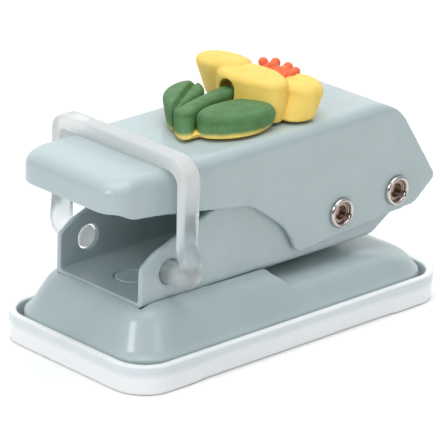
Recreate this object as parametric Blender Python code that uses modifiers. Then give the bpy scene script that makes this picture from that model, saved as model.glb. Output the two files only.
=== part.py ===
"""Small one-hole craft punch: lever handle, channel frame, domed base, chad tray, lock bail and flower charm.

Metres, +Z up. The origin is the centre of the tray's underside. +X points to the pivot end, where paper
goes in, and the handle's nose is at -X.
"""

import math

import bmesh
import bpy
from mathutils import Matrix, Vector

MM = 0.001
SHEET = 1.2 * MM  # steel sheet of the base, the channel frame and the handle
GAP = 0.3 * MM  # clearance between neighbouring pieces
SEAT_GAP = 0.1 * MM  # clearance under a rivet head
WELD = 1e-6  # vertices closer than this are one
TURNED_STEPS = 24
ACROSS = 20.0 * MM  # reach of a cutter that goes right through the handle or the channel

TRAY_LENGTH = 86.0 * MM
TRAY_WIDTH = 44.0 * MM
TRAY_HEIGHT = 6.1 * MM
TRAY_CORNER = 8.0 * MM
TRAY_WALL = 1.6 * MM
TRAY_DRAFT = 0.25 * MM
TRAY_FLOOR = 1.2 * MM
TRAY_EDGE = 0.5 * MM  # bevel round the foot, and half of it round the rim
TRAY_LEDGE_TOP = 4.2 * MM  # below this height the long sides are set in a little
TRAY_LEDGE_HALF = 27.0 * MM  # half the length of that panel
TRAY_LEDGE_DEPTH = 0.35 * MM

BASE_LENGTH = 82.0 * MM
BASE_WIDTH = 40.0 * MM
BASE_CORNER = 8.4 * MM
BASE_TOP_Z = 14.6 * MM  # top of the front half, round the frame's pocket
PLATEAU_Z = 13.5 * MM  # floor of the pocket that the frame sits in
PAPER_BED_Z = 11.5 * MM  # top of the rear half, where the paper lies
PAPER_STOP_X = -1.1 * MM
STOP_CHAMFER = 0.5 * MM
# Base skirt from the tray upwards: height, and how far it has drawn in.
BASE_SKIRT = (
    (1.6, 0.0), (6.0, 0.0), (6.9, 0.9), (8.6, 1.75), (11.4, 3.05),
    (12.8, 3.95), (13.7, 4.9), (14.3, 6.1), (14.6, 7.3),
)
BASE_CORNER_SHRINK = 0.45  # how fast the corner radius falls as the skirt draws in
DIE_X = 18.1 * MM
DIE_RADIUS = 5.0 * MM
DIE_BORE = 3.1 * MM

FRAME_HALF_WIDTH = 12.5 * MM
FRAME_FRONT_X = -34.6 * MM
FRAME_FLOOR_Z = 13.8 * MM  # underside of the channel floor
FRAME_WALL_TOP = 31.0 * MM
FRAME_BEND = 1.6 * MM

PIVOT = Vector((33.9 * MM, 0.0, 23.3 * MM))
DRIVE = Vector((17.9 * MM, 0.0, 22.2 * MM))
PRESS_ANGLE = math.radians(9.0)  # handle travel

HANDLE_HALF_WIDTH = 14.9 * MM
HANDLE_SHIFT = 0.8 * MM  # the handle has side play on its rivets and sits towards +Y
HANDLE_TOP_Z = 42.2 * MM  # height of the top above the origin
HANDLE_RISE = 0.02  # the top climbs this much for each unit towards the pivot
HANDLE_NOSE_X = -43.3 * MM
HANDLE_CORNER = 4.4 * MM
HANDLE_CORNER_SHRINK = 0.3  # how fast the corner radius falls as the edge bends over
HANDLE_BEND = 2.6 * MM
HANDLE_REAR_X = 50.0 * MM

RIVET_SHANK = 1.5 * MM
RIVET_HEAD = 3.1 * MM
PIN_FIT = 0.15 * MM  # clearance round a rivet's shank that turns
SLOT_PLAY = 0.4 * MM  # extra room in a slot for the arc that a rivet swings through

PIN_RADIUS = 3.0 * MM
PIN_BOTTOM = 13.6 * MM
PIN_TOP = 26.2 * MM
GUIDE_NECK = 4.1 * MM
GUIDE_COLLAR = 4.5 * MM
GUIDE_FLANGE = 5.6 * MM

SPRING_X = 5.5 * MM
SPRING_RADIUS = 4.2 * MM
SPRING_WIRE = 0.5 * MM
SPRING_TURNS = 7.0

RIVET_X = (-25.8 * MM, -8.0 * MM)  # the two rivets that hold the channel down
FLOOR_RIVET_HEAD = 3.4 * MM
FLOOR_RIVET_SHANK = 2.0 * MM

BAIL_PIVOT = Vector((-27.3 * MM, 0.0, 20.15 * MM))
BAIL_SHIFT = 1.15 * MM  # the bail has end play in its bores and sits towards +Y
BAIL_LEG_Y = 18.2 * MM  # from the bail's middle to the middle of a leg's thickness
BAIL_BAR_Z = 43.35 * MM  # middle of the bar's thickness
BAIL_WIDTH = 4.2 * MM
BAIL_THICKNESS = 2.2 * MM
BAIL_ELBOW = 2.6 * MM  # bend between a peg and its leg
BAIL_SHOULDER = 4.6 * MM  # bend between a leg and the bar
PEG_RADIUS = 2.3 * MM

CHARM_BASE_Z = 42.75 * MM  # underside of the charm above the origin
CHARM_GAP = 0.25 * MM  # between the charm's pieces
BLOB_SEGMENTS = 20
BLOB_RINGS = 12
# Cushions in millimetres and degrees: centre and lift, then half length, half width and height, then turn,
# then how far below the middle the underside is cut.
PETAL_FRONT = ((6.6, -0.4, 0.0), (9.0, 6.0, 7.4), -68.0, -0.45)
PETAL_RIGHT = ((11.6, -6.7, 0.2), (5.6, 4.9, 7.0), -25.0, -0.45)
PETAL_LEFT = ((7.8, 9.2, 0.35), (7.4, 5.0, 8.6), 104.0, -0.45)
STEM = ((-5.2, 2.6, 0.75), (9.6, 2.2, 3.7), 21.5, -0.35)
LEAF_LEFT = ((-7.4, 7.1, 0.75), (8.8, 3.9, 4.4), 40.0, -0.35)
LEAF_RIGHT = ((-4.0, -4.9, 0.75), (8.6, 4.3, 4.0), -8.0, -0.35)
STAMEN_FOOT = Vector((12.6 * MM, 0.3 * MM, 49.2 * MM))
STAMEN_STALK = 1.5 * MM
STAMEN_RADIUS = 2.0 * MM
STAMEN_KNOBS = 5
STAMEN_KNOB_RADIUS = 0.95 * MM
BACKING_THICKNESS = 0.45 * MM

PAINT = ((0.46, 0.56, 0.55), 0.38, 0.0)
CLEAR_PLASTIC = ((0.86, 0.89, 0.90), 0.30, 0.0)
STEEL = ((0.62, 0.60, 0.57), 0.28, 1.0)
HARD_STEEL = ((0.42, 0.42, 0.43), 0.30, 1.0)
PETAL_YELLOW = ((0.87, 0.66, 0.20), 0.55, 0.0)
LEAF_GREEN = ((0.11, 0.28, 0.11), 0.60, 0.0)
STAMEN_ORANGE = ((0.90, 0.20, 0.06), 0.55, 0.0)


# ---------------------------------------------------------------- scene and helpers

def clear_scene():
    for obj in list(bpy.data.objects):
        bpy.data.objects.remove(obj, do_unlink=True)


def make_collection(name):
    collection = bpy.data.collections.new(name)
    bpy.context.scene.collection.children.link(collection)
    return collection


def make_material(name, finish):
    colour, roughness, metallic = finish
    material = bpy.data.materials.new(name)
    material.use_nodes = True
    shader = material.node_tree.nodes["Principled BSDF"]
    shader.inputs["Base Color"].default_value = (*colour, 1.0)
    shader.inputs["Roughness"].default_value = roughness
    shader.inputs["Metallic"].default_value = metallic
    material.diffuse_color = (*colour, 1.0)
    return material


def add_object(name, mesh, finish=None, smooth_angle=35.0):
    """A part when it has a finish, and otherwise a hidden cutter."""
    obj = bpy.data.objects.new(name, mesh)
    if finish:
        parts.objects.link(obj)
        mesh.materials.append(make_material(name + "_finish", finish))
        mesh.shade_smooth()
        mesh.set_sharp_from_angle(angle=math.radians(smooth_angle))
    else:
        cutters.objects.link(obj)
        obj.hide_render = True
        obj.display_type = "WIRE"
    return obj


def mesh_from(bm, name):
    bmesh.ops.recalc_face_normals(bm, faces=bm.faces)
    mesh = bpy.data.meshes.new(name)
    bm.to_mesh(mesh)
    bm.free()
    return mesh


def boolean(obj, other, operation="DIFFERENCE"):
    modifier = obj.modifiers.new(operation.title() + "_" + other.name, "BOOLEAN")
    modifier.operation = operation
    modifier.solver = "EXACT"
    modifier.object = other


def place_on_axis(obj, axis_point):
    """Moves the object's origin onto its joint axis and leaves its shape where it is."""
    obj.data.transform(Matrix.Translation(-axis_point))
    obj.location = axis_point


def fillet(points, radii, steps=4):
    """A closed outline with each corner rounded by its own radius."""
    outline = []
    count = len(points)
    for i, (corner, radius) in enumerate(zip(points, radii)):
        corner = Vector(corner)
        if radius <= 0.0:
            outline.append(tuple(corner))
            continue
        before = (Vector(points[i - 1]) - corner).normalized()
        after = (Vector(points[(i + 1) % count]) - corner).normalized()
        half = before.angle(after) / 2.0
        reach = radius / math.tan(half)
        centre = corner + (before + after).normalized() * (radius / math.sin(half))
        start = corner + before * reach - centre
        end = corner + after * reach - centre
        turn = math.atan2(start.x * end.y - start.y * end.x, start.dot(end))
        for k in range(steps + 1):
            angle = turn * k / steps
            cos, sin = math.cos(angle), math.sin(angle)
            arm = Vector((start.x * cos - start.y * sin, start.x * sin + start.y * cos))
            outline.append(tuple(centre + arm))
    return outline


def rounded_rectangle(low_x, high_x, half_width, radius, steps=5):
    corners = ((high_x, -half_width), (high_x, half_width), (low_x, half_width), (low_x, -half_width))
    return fillet(corners, (radius,) * 4, steps)


def loft(rings, name):
    """A closed mesh through rings of equal point count, capped at both ends."""
    bm = bmesh.new()
    loops = [[bm.verts.new(point) for point in ring] for ring in rings]
    for lower, upper in zip(loops, loops[1:]):
        for i in range(len(lower)):
            j = (i + 1) % len(lower)
            bm.faces.new((lower[i], lower[j], upper[j], upper[i]))
    bm.faces.new(reversed(loops[0]))
    bm.faces.new(loops[-1])
    return mesh_from(bm, name)


def side_plate(outline, half_thickness, name):
    """A flat plate with an outline in x and z, standing across y."""
    curve = bpy.data.curves.new(name, "CURVE")
    curve.dimensions = "2D"
    curve.fill_mode = "BOTH"
    curve.extrude = half_thickness
    spline = curve.splines.new("POLY")
    spline.points.add(len(outline) - 1)
    for point, (x, z) in zip(spline.points, outline):
        point.co = (x, z, 0.0, 1.0)
    spline.use_cyclic_u = True
    guide = bpy.data.objects.new(name + "_outline", curve)
    guide.rotation_euler = (math.pi / 2.0, 0.0, 0.0)
    cutters.objects.link(guide)
    return solid_of_curve(guide, name)


def solid_of_curve(curve_object, name):
    """The curve's solid as a welded mesh in world space. The curve itself is removed."""
    bpy.context.view_layer.update()
    evaluated = curve_object.evaluated_get(bpy.context.evaluated_depsgraph_get())
    mesh = bpy.data.meshes.new_from_object(evaluated)
    mesh.name = name
    mesh.transform(curve_object.matrix_world)
    bpy.data.objects.remove(curve_object, do_unlink=True)
    bm = bmesh.new()
    bm.from_mesh(mesh)
    bmesh.ops.remove_doubles(bm, verts=bm.verts, dist=WELD)
    bmesh.ops.recalc_face_normals(bm, faces=bm.faces)
    bm.to_mesh(mesh)
    bm.free()
    return mesh


def upright_hole(obj, name, radius, x, low, high):
    boolean(obj, add_object(name, cylinder(name, radius, (x, 0.0, low), (x, 0.0, high))))


def cross_hole(obj, name, radius, centre):
    """A hole right across y."""
    across = Vector((0.0, ACROSS, 0.0))
    boolean(obj, add_object(name, cylinder(name, radius, centre - across, centre + across)))


def cylinder(name, radius, start, end, segments=24):
    """A cylinder between two points."""
    start, end = Vector(start), Vector(end)
    bm = bmesh.new()
    bmesh.ops.create_cone(
        bm, cap_ends=True, segments=segments, radius1=radius, radius2=radius, depth=(end - start).length
    )
    turn = Vector((0.0, 0.0, 1.0)).rotation_difference(end - start).to_matrix().to_4x4()
    bm.transform(Matrix.Translation((start + end) / 2.0) @ turn)
    return mesh_from(bm, name)


def turned(name, profile, finish):
    """A ring or rod turned about local z. The profile is (radius, z), running down its outer side."""
    bm = bmesh.new()
    verts = [bm.verts.new((radius, 0.0, z)) for radius, z in profile]
    for first, second in zip(verts, verts[1:]):
        bm.edges.new((first, second))
    if profile[0][0] > 0.0 and profile[-1][0] > 0.0:
        bm.edges.new((verts[-1], verts[0]))
    mesh = bpy.data.meshes.new(name)
    bm.to_mesh(mesh)
    bm.free()
    mesh.materials.append(make_material(name + "_finish", finish))
    obj = bpy.data.objects.new(name, mesh)
    parts.objects.link(obj)
    screw = obj.modifiers.new("Turn", "SCREW")
    screw.steps = TURNED_STEPS
    screw.render_steps = TURNED_STEPS
    screw.use_merge_vertices = True
    screw.merge_threshold = WELD
    return obj


# ---------------------------------------------------------------- tray and base

def build_chad_tray():
    """Translucent tray that clips under the base and catches the punched discs."""
    def ring(z, inset):
        half_length = TRAY_LENGTH / 2.0 - inset
        outline = rounded_rectangle(
            -half_length, half_length, TRAY_WIDTH / 2.0 - inset, TRAY_CORNER - inset
        )
        return [(x, y, z) for x, y in outline]

    outside = [
        ring(0.0, TRAY_DRAFT + TRAY_EDGE),
        ring(TRAY_EDGE, TRAY_DRAFT),
        ring(TRAY_HEIGHT - 0.5 * TRAY_EDGE, 0.0),
        ring(TRAY_HEIGHT, 0.5 * TRAY_EDGE),
    ]
    inside = [ring(TRAY_FLOOR, TRAY_WALL + 0.2 * MM), ring(TRAY_HEIGHT + MM, TRAY_WALL)]
    tray = add_object("chad_tray", loft(outside, "chad_tray"), CLEAR_PLASTIC)
    boolean(tray, add_object("tray_hollow", loft(inside, "tray_hollow")))
    outline = (
        (-TRAY_LEDGE_HALF, -MM),
        (TRAY_LEDGE_HALF, -MM),
        (TRAY_LEDGE_HALF, TRAY_LEDGE_TOP),
        (-TRAY_LEDGE_HALF, TRAY_LEDGE_TOP),
    )
    for name, side in (("tray_ledge_right", -1.0), ("tray_ledge_left", 1.0)):
        cutter = add_object(name, side_plate(outline, MM, name))
        cutter.location.y = side * (TRAY_WIDTH / 2.0 + MM - TRAY_LEDGE_DEPTH)
        boolean(tray, cutter)
    return tray


def base_solid(name, offset):
    """The base's filled outer form, shrunk by the offset: a skirted dome without the paper bed's step."""
    rings = []
    for height, drawn_in in BASE_SKIRT:
        inset = drawn_in * MM + offset
        half_length = BASE_LENGTH / 2.0 - inset
        radius = BASE_CORNER - BASE_CORNER_SHRINK * drawn_in * MM - offset
        z = height * MM - offset
        outline = rounded_rectangle(-half_length, half_length, BASE_WIDTH / 2.0 - inset, radius)
        rings.append([(x, y, z) for x, y in outline])
    return loft(rings, name)


def build_base_plate():
    """Pressed steel base: open underneath, with a pocket for the frame, a low paper bed and three holes."""
    base = add_object("base_plate", base_solid("base_plate", 0.0), PAINT)
    hollow = add_object("base_hollow", base_solid("base_hollow", SHEET))
    above = BASE_TOP_Z + MM
    beyond = BASE_LENGTH
    pocket_half = FRAME_HALF_WIDTH + GAP
    for body, offset in ((base, 0.0), (hollow, SHEET)):
        bed = PAPER_BED_Z - offset
        start = PAPER_STOP_X - offset
        outline = (
            (start - STOP_CHAMFER, above),
            (start - STOP_CHAMFER, BASE_TOP_Z - offset + WELD),
            (start, BASE_TOP_Z - offset - STOP_CHAMFER),
            (start + STOP_CHAMFER, bed),
            (beyond, bed),
            (beyond, above),
        )
        name = body.name + "_bed"
        boolean(body, add_object(name, side_plate(outline, BASE_WIDTH, name)))
        name = body.name + "_pocket"
        front = FRAME_FRONT_X - GAP - offset
        plan = rounded_rectangle(front, beyond, pocket_half + offset, FRAME_BEND + offset)
        pocket = loft([[(x, y, z) for x, y in plan] for z in (PLATEAU_Z - offset, above)], name)
        boolean(body, add_object(name, pocket))
    boolean(base, hollow)
    holes = (
        ("base_die_hole", DIE_RADIUS + GAP, DIE_X),
        ("base_rivet_hole_front", FLOOR_RIVET_SHANK + GAP, RIVET_X[0]),
        ("base_rivet_hole_rear", FLOOR_RIVET_SHANK + GAP, RIVET_X[1]),
    )
    for name, radius, x in holes:
        upright_hole(base, name, radius, x, PAPER_BED_Z - 3.0 * SHEET, PLATEAU_Z + SHEET)
    return base


def build_die_ring():
    """Hardened ring under the punch pin. The punched disc drops through it into the tray."""
    top = PAPER_BED_Z - 0.05 * MM
    bottom = top - 2.0 * SHEET
    chamfer = 0.4 * MM
    profile = (
        (DIE_BORE, top),
        (DIE_RADIUS, top),
        (DIE_RADIUS, bottom + 2.0 * chamfer),
        (DIE_RADIUS - chamfer, bottom),
        (DIE_BORE + chamfer, bottom),
        (DIE_BORE, bottom + 2.0 * chamfer),
    )
    die = turned("die_ring", profile, HARD_STEEL)
    die.location.x = DIE_X
    return die


# ---------------------------------------------------------------- frame

def frame_outline():
    """The channel's side view: upright front, sloping shoulder, level top, pivot ear and undercut rear."""
    points = (
        (FRAME_FRONT_X, FRAME_FLOOR_Z),
        (28.0 * MM, FRAME_FLOOR_Z),
        (34.2 * MM, 17.7 * MM),
        (40.4 * MM, 19.0 * MM),
        (40.4 * MM, 27.5 * MM),
        (29.5 * MM, FRAME_WALL_TOP),
        (-14.6 * MM, FRAME_WALL_TOP),
        (-31.2 * MM, 24.75 * MM),
        (FRAME_FRONT_X, 22.4 * MM),
    )
    radii = (0.0, 0.6 * MM, 2.0 * MM, 3.6 * MM, 4.4 * MM, 6.0 * MM, 6.0 * MM, 1.8 * MM, 1.6 * MM)
    return fillet(points, radii, 3)


def build_lower_frame():
    """U channel of bent sheet, open at the top and at both ends."""
    def channel(inset, low, high, top):
        """Ends of the channel's section, drawn in all round by the inset."""
        half = FRAME_HALF_WIDTH - inset
        floor = FRAME_FLOOR_Z + inset
        corners = ((-half, top), (-half, floor), (half, floor), (half, top))
        bend = FRAME_BEND - inset
        section = fillet(corners, (0.0, bend, bend, 0.0), 4)
        return [[(x, y, z) for y, z in section] for x in (low, high)]

    low, high, top = -50.0 * MM, 50.0 * MM, 40.0 * MM
    beyond = 5.0 * MM
    frame = add_object("lower_frame", loft(channel(0.0, low, high, top), "lower_frame"), PAINT)
    hollow = channel(SHEET, low - beyond, high + beyond, top + beyond)
    boolean(frame, add_object("frame_hollow", loft(hollow, "frame_hollow")))
    outline = side_plate(frame_outline(), ACROSS, "frame_profile")
    boolean(frame, add_object("frame_profile", outline), "INTERSECT")
    cross_hole(frame, "frame_pivot_bore", RIVET_SHANK + PIN_FIT, PIVOT)
    cross_hole(frame, "frame_peg_bore", PEG_RADIUS + GAP, BAIL_PIVOT)
    lever = DRIVE - PIVOT
    pressed = Matrix.Rotation(-PRESS_ANGLE, 3, "Y") @ lever
    stroke = lever.z - pressed.z
    sweep = abs(pressed.x - lever.x)
    half_slot = RIVET_SHANK + SLOT_PLAY
    slot = fillet(
        (
            (DRIVE.x - half_slot, DRIVE.z - stroke - half_slot),
            (DRIVE.x + half_slot + sweep, DRIVE.z - stroke - half_slot),
            (DRIVE.x + half_slot + sweep, DRIVE.z + half_slot),
            (DRIVE.x - half_slot, DRIVE.z + half_slot),
        ),
        (RIVET_SHANK,) * 4,
    )
    boolean(frame, add_object("frame_drive_slot", side_plate(slot, ACROSS, "frame_drive_slot")))
    holes = (
        ("frame_guide_hole", GUIDE_NECK + GAP, DIE_X),
        ("frame_rivet_hole_front", FLOOR_RIVET_HEAD + GAP, RIVET_X[0]),
        ("frame_rivet_hole_rear", FLOOR_RIVET_HEAD + GAP, RIVET_X[1]),
    )
    for name, radius, x in holes:
        upright_hole(frame, name, radius, x, FRAME_FLOOR_Z - SHEET, FRAME_FLOOR_Z + 2.0 * SHEET)
    return frame


def build_frame_rivet(name, x):
    """Painted rivet that holds the channel down on the base, sunk in the channel's floor."""
    head_top = FRAME_FLOOR_Z + SHEET - 0.2 * MM
    head_seat = PLATEAU_Z + SEAT_GAP
    foot_seat = PLATEAU_Z - SHEET - SEAT_GAP
    chamfer = 0.3 * MM
    profile = (
        (0.0, head_top),
        (FLOOR_RIVET_HEAD - chamfer, head_top),
        (FLOOR_RIVET_HEAD, head_top - chamfer),
        (FLOOR_RIVET_HEAD, head_seat),
        (FLOOR_RIVET_SHANK, head_seat),
        (FLOOR_RIVET_SHANK, foot_seat),
        (FLOOR_RIVET_HEAD, foot_seat),
        (FLOOR_RIVET_HEAD - chamfer, foot_seat - 0.8 * MM),
        (0.0, foot_seat - 1.1 * MM),
    )
    rivet = turned(name, profile, PAINT)
    rivet.location.x = x
    return rivet


def build_punch_guide():
    """Flanged bush in the channel's floor that keeps the punch pin upright."""
    seat = FRAME_FLOOR_Z + SHEET + SEAT_GAP
    flange_top = seat + 0.9 * MM
    collar_top = seat + 1.7 * MM
    bottom = FRAME_FLOOR_Z + SEAT_GAP
    profile = (
        (PIN_RADIUS + SEAT_GAP, collar_top),
        (GUIDE_COLLAR, collar_top),
        (GUIDE_COLLAR, flange_top),
        (GUIDE_FLANGE, flange_top),
        (GUIDE_FLANGE, seat),
        (GUIDE_NECK, seat),
        (GUIDE_NECK, bottom),
        (PIN_RADIUS + SEAT_GAP, bottom),
    )
    guide = turned("punch_guide", profile, STEEL)
    guide.location.x = DIE_X
    return guide


# ---------------------------------------------------------------- handle and its rivets

def handle_solid(name, offset):
    """The handle's filled form before its sides are trimmed, shrunk by the offset."""
    bend = HANDLE_BEND - offset
    top = HANDLE_TOP_Z - offset
    beyond = 5.0 * MM if offset else 0.0  # a hollow runs out through the open sides
    levels = [(10.0 * MM - beyond, 0.0)]
    steps = 5
    for k in range(steps + 1):
        angle = math.pi / 2.0 * k / steps
        levels.append((top - bend + bend * math.sin(angle), bend * (1.0 - math.cos(angle))))
    rings = []
    for z, inset in levels:
        low = HANDLE_NOSE_X + offset + inset
        high = HANDLE_REAR_X + beyond
        half = HANDLE_HALF_WIDTH - offset - inset
        corner = HANDLE_CORNER - offset - HANDLE_CORNER_SHRINK * inset
        corners = ((high, -half), (high, half), (low, half), (low, -half))
        outline = fillet(corners, (0.0, 0.0, corner, corner), 6)
        rings.append([(x, y + HANDLE_SHIFT, z + HANDLE_RISE * x) for x, y in outline])
    return loft(rings, name)


def handle_outline():
    """The handle's side view, clockwise from the nose: top, rear slope, tail, skirt, lobe and S-curve."""
    points = (
        (-50.0 * MM, 60.0 * MM),
        (-50.0 * MM, 35.1 * MM),
        (-41.2 * MM, 35.1 * MM),
        (-38.4 * MM, 33.6 * MM),
        (-26.9 * MM, 32.5 * MM),
        (-7.2 * MM, 29.5 * MM),
        (3.3 * MM, 22.0 * MM),
        (5.9 * MM, 16.3 * MM),
        (19.0 * MM, 17.5 * MM),
        (39.7 * MM, 19.2 * MM),
        (45.7 * MM, 24.0 * MM),
        (33.3 * MM, 42.1 * MM),
        (26.0 * MM, 43.2 * MM),
        (20.0 * MM, 60.0 * MM),
    )
    radii = (0.0, 0.0, 2.0, 2.0, 0.0, 12.0, 14.0, 2.2, 0.0, 3.5, 1.2, 9.0, 0.0, 0.0)
    return fillet(points, [radius * MM for radius in radii], 5)


def build_handle():
    """Drawn sheet handle: closed nose and top, two skirts with a lobe, open at the rear."""
    handle = add_object("handle", handle_solid("handle", 0.0), PAINT)
    boolean(handle, add_object("handle_hollow", handle_solid("handle_hollow", SHEET)))
    profile = side_plate(handle_outline(), ACROSS, "handle_profile")
    boolean(handle, add_object("handle_profile", profile), "INTERSECT")
    cross_hole(handle, "handle_pivot_bore", RIVET_SHANK + SEAT_GAP, PIVOT)
    cross_hole(handle, "handle_drive_bore", RIVET_SHANK + SEAT_GAP, DRIVE)
    place_on_axis(handle, PIVOT)
    return handle


def build_cross_rivet(name, centre):
    """Tubular rivet across the handle: a domed head on one side, a rolled lip round a recess on the other."""
    seat = HANDLE_HALF_WIDTH + SEAT_GAP
    brim = 0.25 * MM
    crown = 0.7 * MM
    flat = 0.5 * RIVET_HEAD  # radius of the head's flat middle
    profile = [(0.0, seat + brim + crown)]
    for k in range(4):
        angle = math.pi / 2.0 * k / 3.0
        radius = flat + (RIVET_HEAD - flat) * math.sin(angle)
        profile.append((radius, seat + brim + crown * math.cos(angle)))
    profile += [(RIVET_HEAD, seat), (RIVET_SHANK, seat), (RIVET_SHANK, -seat), (RIVET_HEAD, -seat)]
    recess = 1.35 * MM
    roll = 0.5 * (RIVET_HEAD - recess)
    for k in range(1, 6):
        angle = math.pi * k / 6.0
        radius = RIVET_HEAD - roll * (1.0 - math.cos(angle))
        profile.append((radius, -seat - roll * math.sin(angle)))
    floor = crown - seat
    profile += [(recess, -seat - SEAT_GAP), (recess - SEAT_GAP, floor), (0.0, floor)]
    rivet = turned(name, profile, STEEL)
    rivet.rotation_euler = (-math.pi / 2.0, 0.0, 0.0)
    rivet.location = centre + Vector((0.0, HANDLE_SHIFT, 0.0))
    return rivet


def build_pivot_sleeve():
    """Spacer tube on the pivot rivet that holds the channel's walls apart."""
    half = FRAME_HALF_WIDTH - SHEET - GAP
    bore = RIVET_SHANK + PIN_FIT
    outer = bore + 0.9 * MM
    profile = ((bore, half), (outer, half), (outer, -half), (bore, -half))
    sleeve = turned("pivot_sleeve", profile, STEEL)
    sleeve.rotation_euler = (-math.pi / 2.0, 0.0, 0.0)
    sleeve.location = PIVOT
    return sleeve


# ---------------------------------------------------------------- punch pin and spring

def build_punch_pin():
    """Hardened pin with a hollow-ground tip and a cross slot for the drive rivet."""
    chamfer = 0.4 * MM
    tip = 0.6 * MM  # depth of the hollow
    profile = (
        (0.0, PIN_TOP),
        (PIN_RADIUS - chamfer, PIN_TOP),
        (PIN_RADIUS, PIN_TOP - chamfer),
        (PIN_RADIUS, PIN_BOTTOM),
        (PIN_RADIUS - MM, PIN_BOTTOM + 0.6 * tip),
        (0.0, PIN_BOTTOM + tip),
    )
    pin = turned("punch_pin", profile, HARD_STEEL)
    pin.location.x = DIE_X
    half = RIVET_SHANK + PIN_FIT
    reach = RIVET_SHANK + SLOT_PLAY
    slot = fillet(
        (
            (DIE_X - reach, DRIVE.z - half),
            (DIE_X + reach, DRIVE.z - half),
            (DIE_X + reach, DRIVE.z + half),
            (DIE_X - reach, DRIVE.z + half),
        ),
        (0.8 * half,) * 4,
    )
    boolean(pin, add_object("pin_cross_slot", side_plate(slot, 2.0 * PIN_RADIUS, "pin_cross_slot")))
    return pin


def build_return_spring():
    """Compression spring between the channel's floor and the underside of the handle's top."""
    bottom = FRAME_FLOOR_Z + SHEET + GAP + SPRING_WIRE
    top = HANDLE_TOP_Z - SHEET + HANDLE_RISE * (SPRING_X - SPRING_RADIUS) - GAP - SPRING_WIRE
    dead = 0.9  # turns wound flat at each end
    pitch = 2.25 * SPRING_WIRE
    turn_steps = 14
    points = []
    for k in range(int(SPRING_TURNS * turn_steps) + 1):
        turn = k / turn_steps
        if turn < dead:
            z = bottom + pitch * turn
        elif turn > SPRING_TURNS - dead:
            z = top - pitch * (SPRING_TURNS - turn)
        else:
            share = (turn - dead) / (SPRING_TURNS - 2.0 * dead)
            z = bottom + pitch * dead + share * (top - bottom - 2.0 * pitch * dead)
        angle = 2.0 * math.pi * turn
        points.append((SPRING_X + SPRING_RADIUS * math.cos(angle), SPRING_RADIUS * math.sin(angle), z))
    curve = bpy.data.curves.new("return_spring", "CURVE")
    curve.dimensions = "3D"
    curve.bevel_depth = SPRING_WIRE
    curve.bevel_resolution = 1
    curve.use_fill_caps = True
    spline = curve.splines.new("POLY")
    spline.points.add(len(points) - 1)
    for point, place in zip(spline.points, points):
        point.co = (*place, 1.0)
    guide = bpy.data.objects.new("return_spring_path", curve)
    cutters.objects.link(guide)
    return add_object("return_spring", solid_of_curve(guide, "return_spring"), STEEL)


# ---------------------------------------------------------------- lock bail

def bail_path():
    """Centre line of the bail in y and z, from peg end to peg end."""
    peg_end = FRAME_HALF_WIDTH - SHEET - 3.0 * GAP
    peg_root = FRAME_HALF_WIDTH + 2.0 * MM
    corners = (
        (-BAIL_LEG_Y, BAIL_PIVOT.z),
        (-BAIL_LEG_Y, BAIL_BAR_Z),
        (BAIL_LEG_Y, BAIL_BAR_Z),
        (BAIL_LEG_Y, BAIL_PIVOT.z),
    )
    path = [(-peg_end, BAIL_PIVOT.z), (-peg_root, BAIL_PIVOT.z)]
    path += fillet(corners, (BAIL_ELBOW, BAIL_SHOULDER, BAIL_SHOULDER, BAIL_ELBOW), 5)
    path += [(peg_root, BAIL_PIVOT.z), (peg_end, BAIL_PIVOT.z)]
    return [(y + BAIL_SHIFT, z) for y, z in path]


def build_lock_bail():
    """Translucent loop over the handle, flattened along its legs and bar, with round pegs in the frame."""
    path = [Vector(point) for point in bail_path()]
    low = BAIL_PIVOT.z + 1.0 * MM  # the leg is round below this and flat above the next
    high = BAIL_PIVOT.z + 8.0 * MM
    rings = []
    segments = 16
    for i, point in enumerate(path):
        before = path[max(i - 1, 0)]
        after = path[min(i + 1, len(path) - 1)]
        normal = Vector((-(after - before).y, (after - before).x)).normalized()
        share = min(max((point.y - low) / (high - low), 0.0), 1.0)
        half_width = (1.0 - share) * PEG_RADIUS + share * BAIL_WIDTH / 2.0
        half_thick = (1.0 - share) * PEG_RADIUS + share * BAIL_THICKNESS / 2.0
        power = 1.0 - 0.5 * share
        ring = []
        for k in range(segments):
            angle = 2.0 * math.pi * k / segments
            cos, sin = math.cos(angle), math.sin(angle)
            across = half_width * math.copysign(abs(cos) ** power, cos)
            through = half_thick * math.copysign(abs(sin) ** power, sin)
            ring.append((BAIL_PIVOT.x + across, point.x + through * normal.x, point.y + through * normal.y))
        rings.append(ring)
    bail = add_object("lock_bail", loft(rings, "lock_bail"), CLEAR_PLASTIC)
    place_on_axis(bail, BAIL_PIVOT)
    return bail


# ---------------------------------------------------------------- flower charm

def charm_height(x):
    """Height of the charm's underside above the handle's sloping top."""
    return CHARM_BASE_Z + HANDLE_RISE * x


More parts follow.
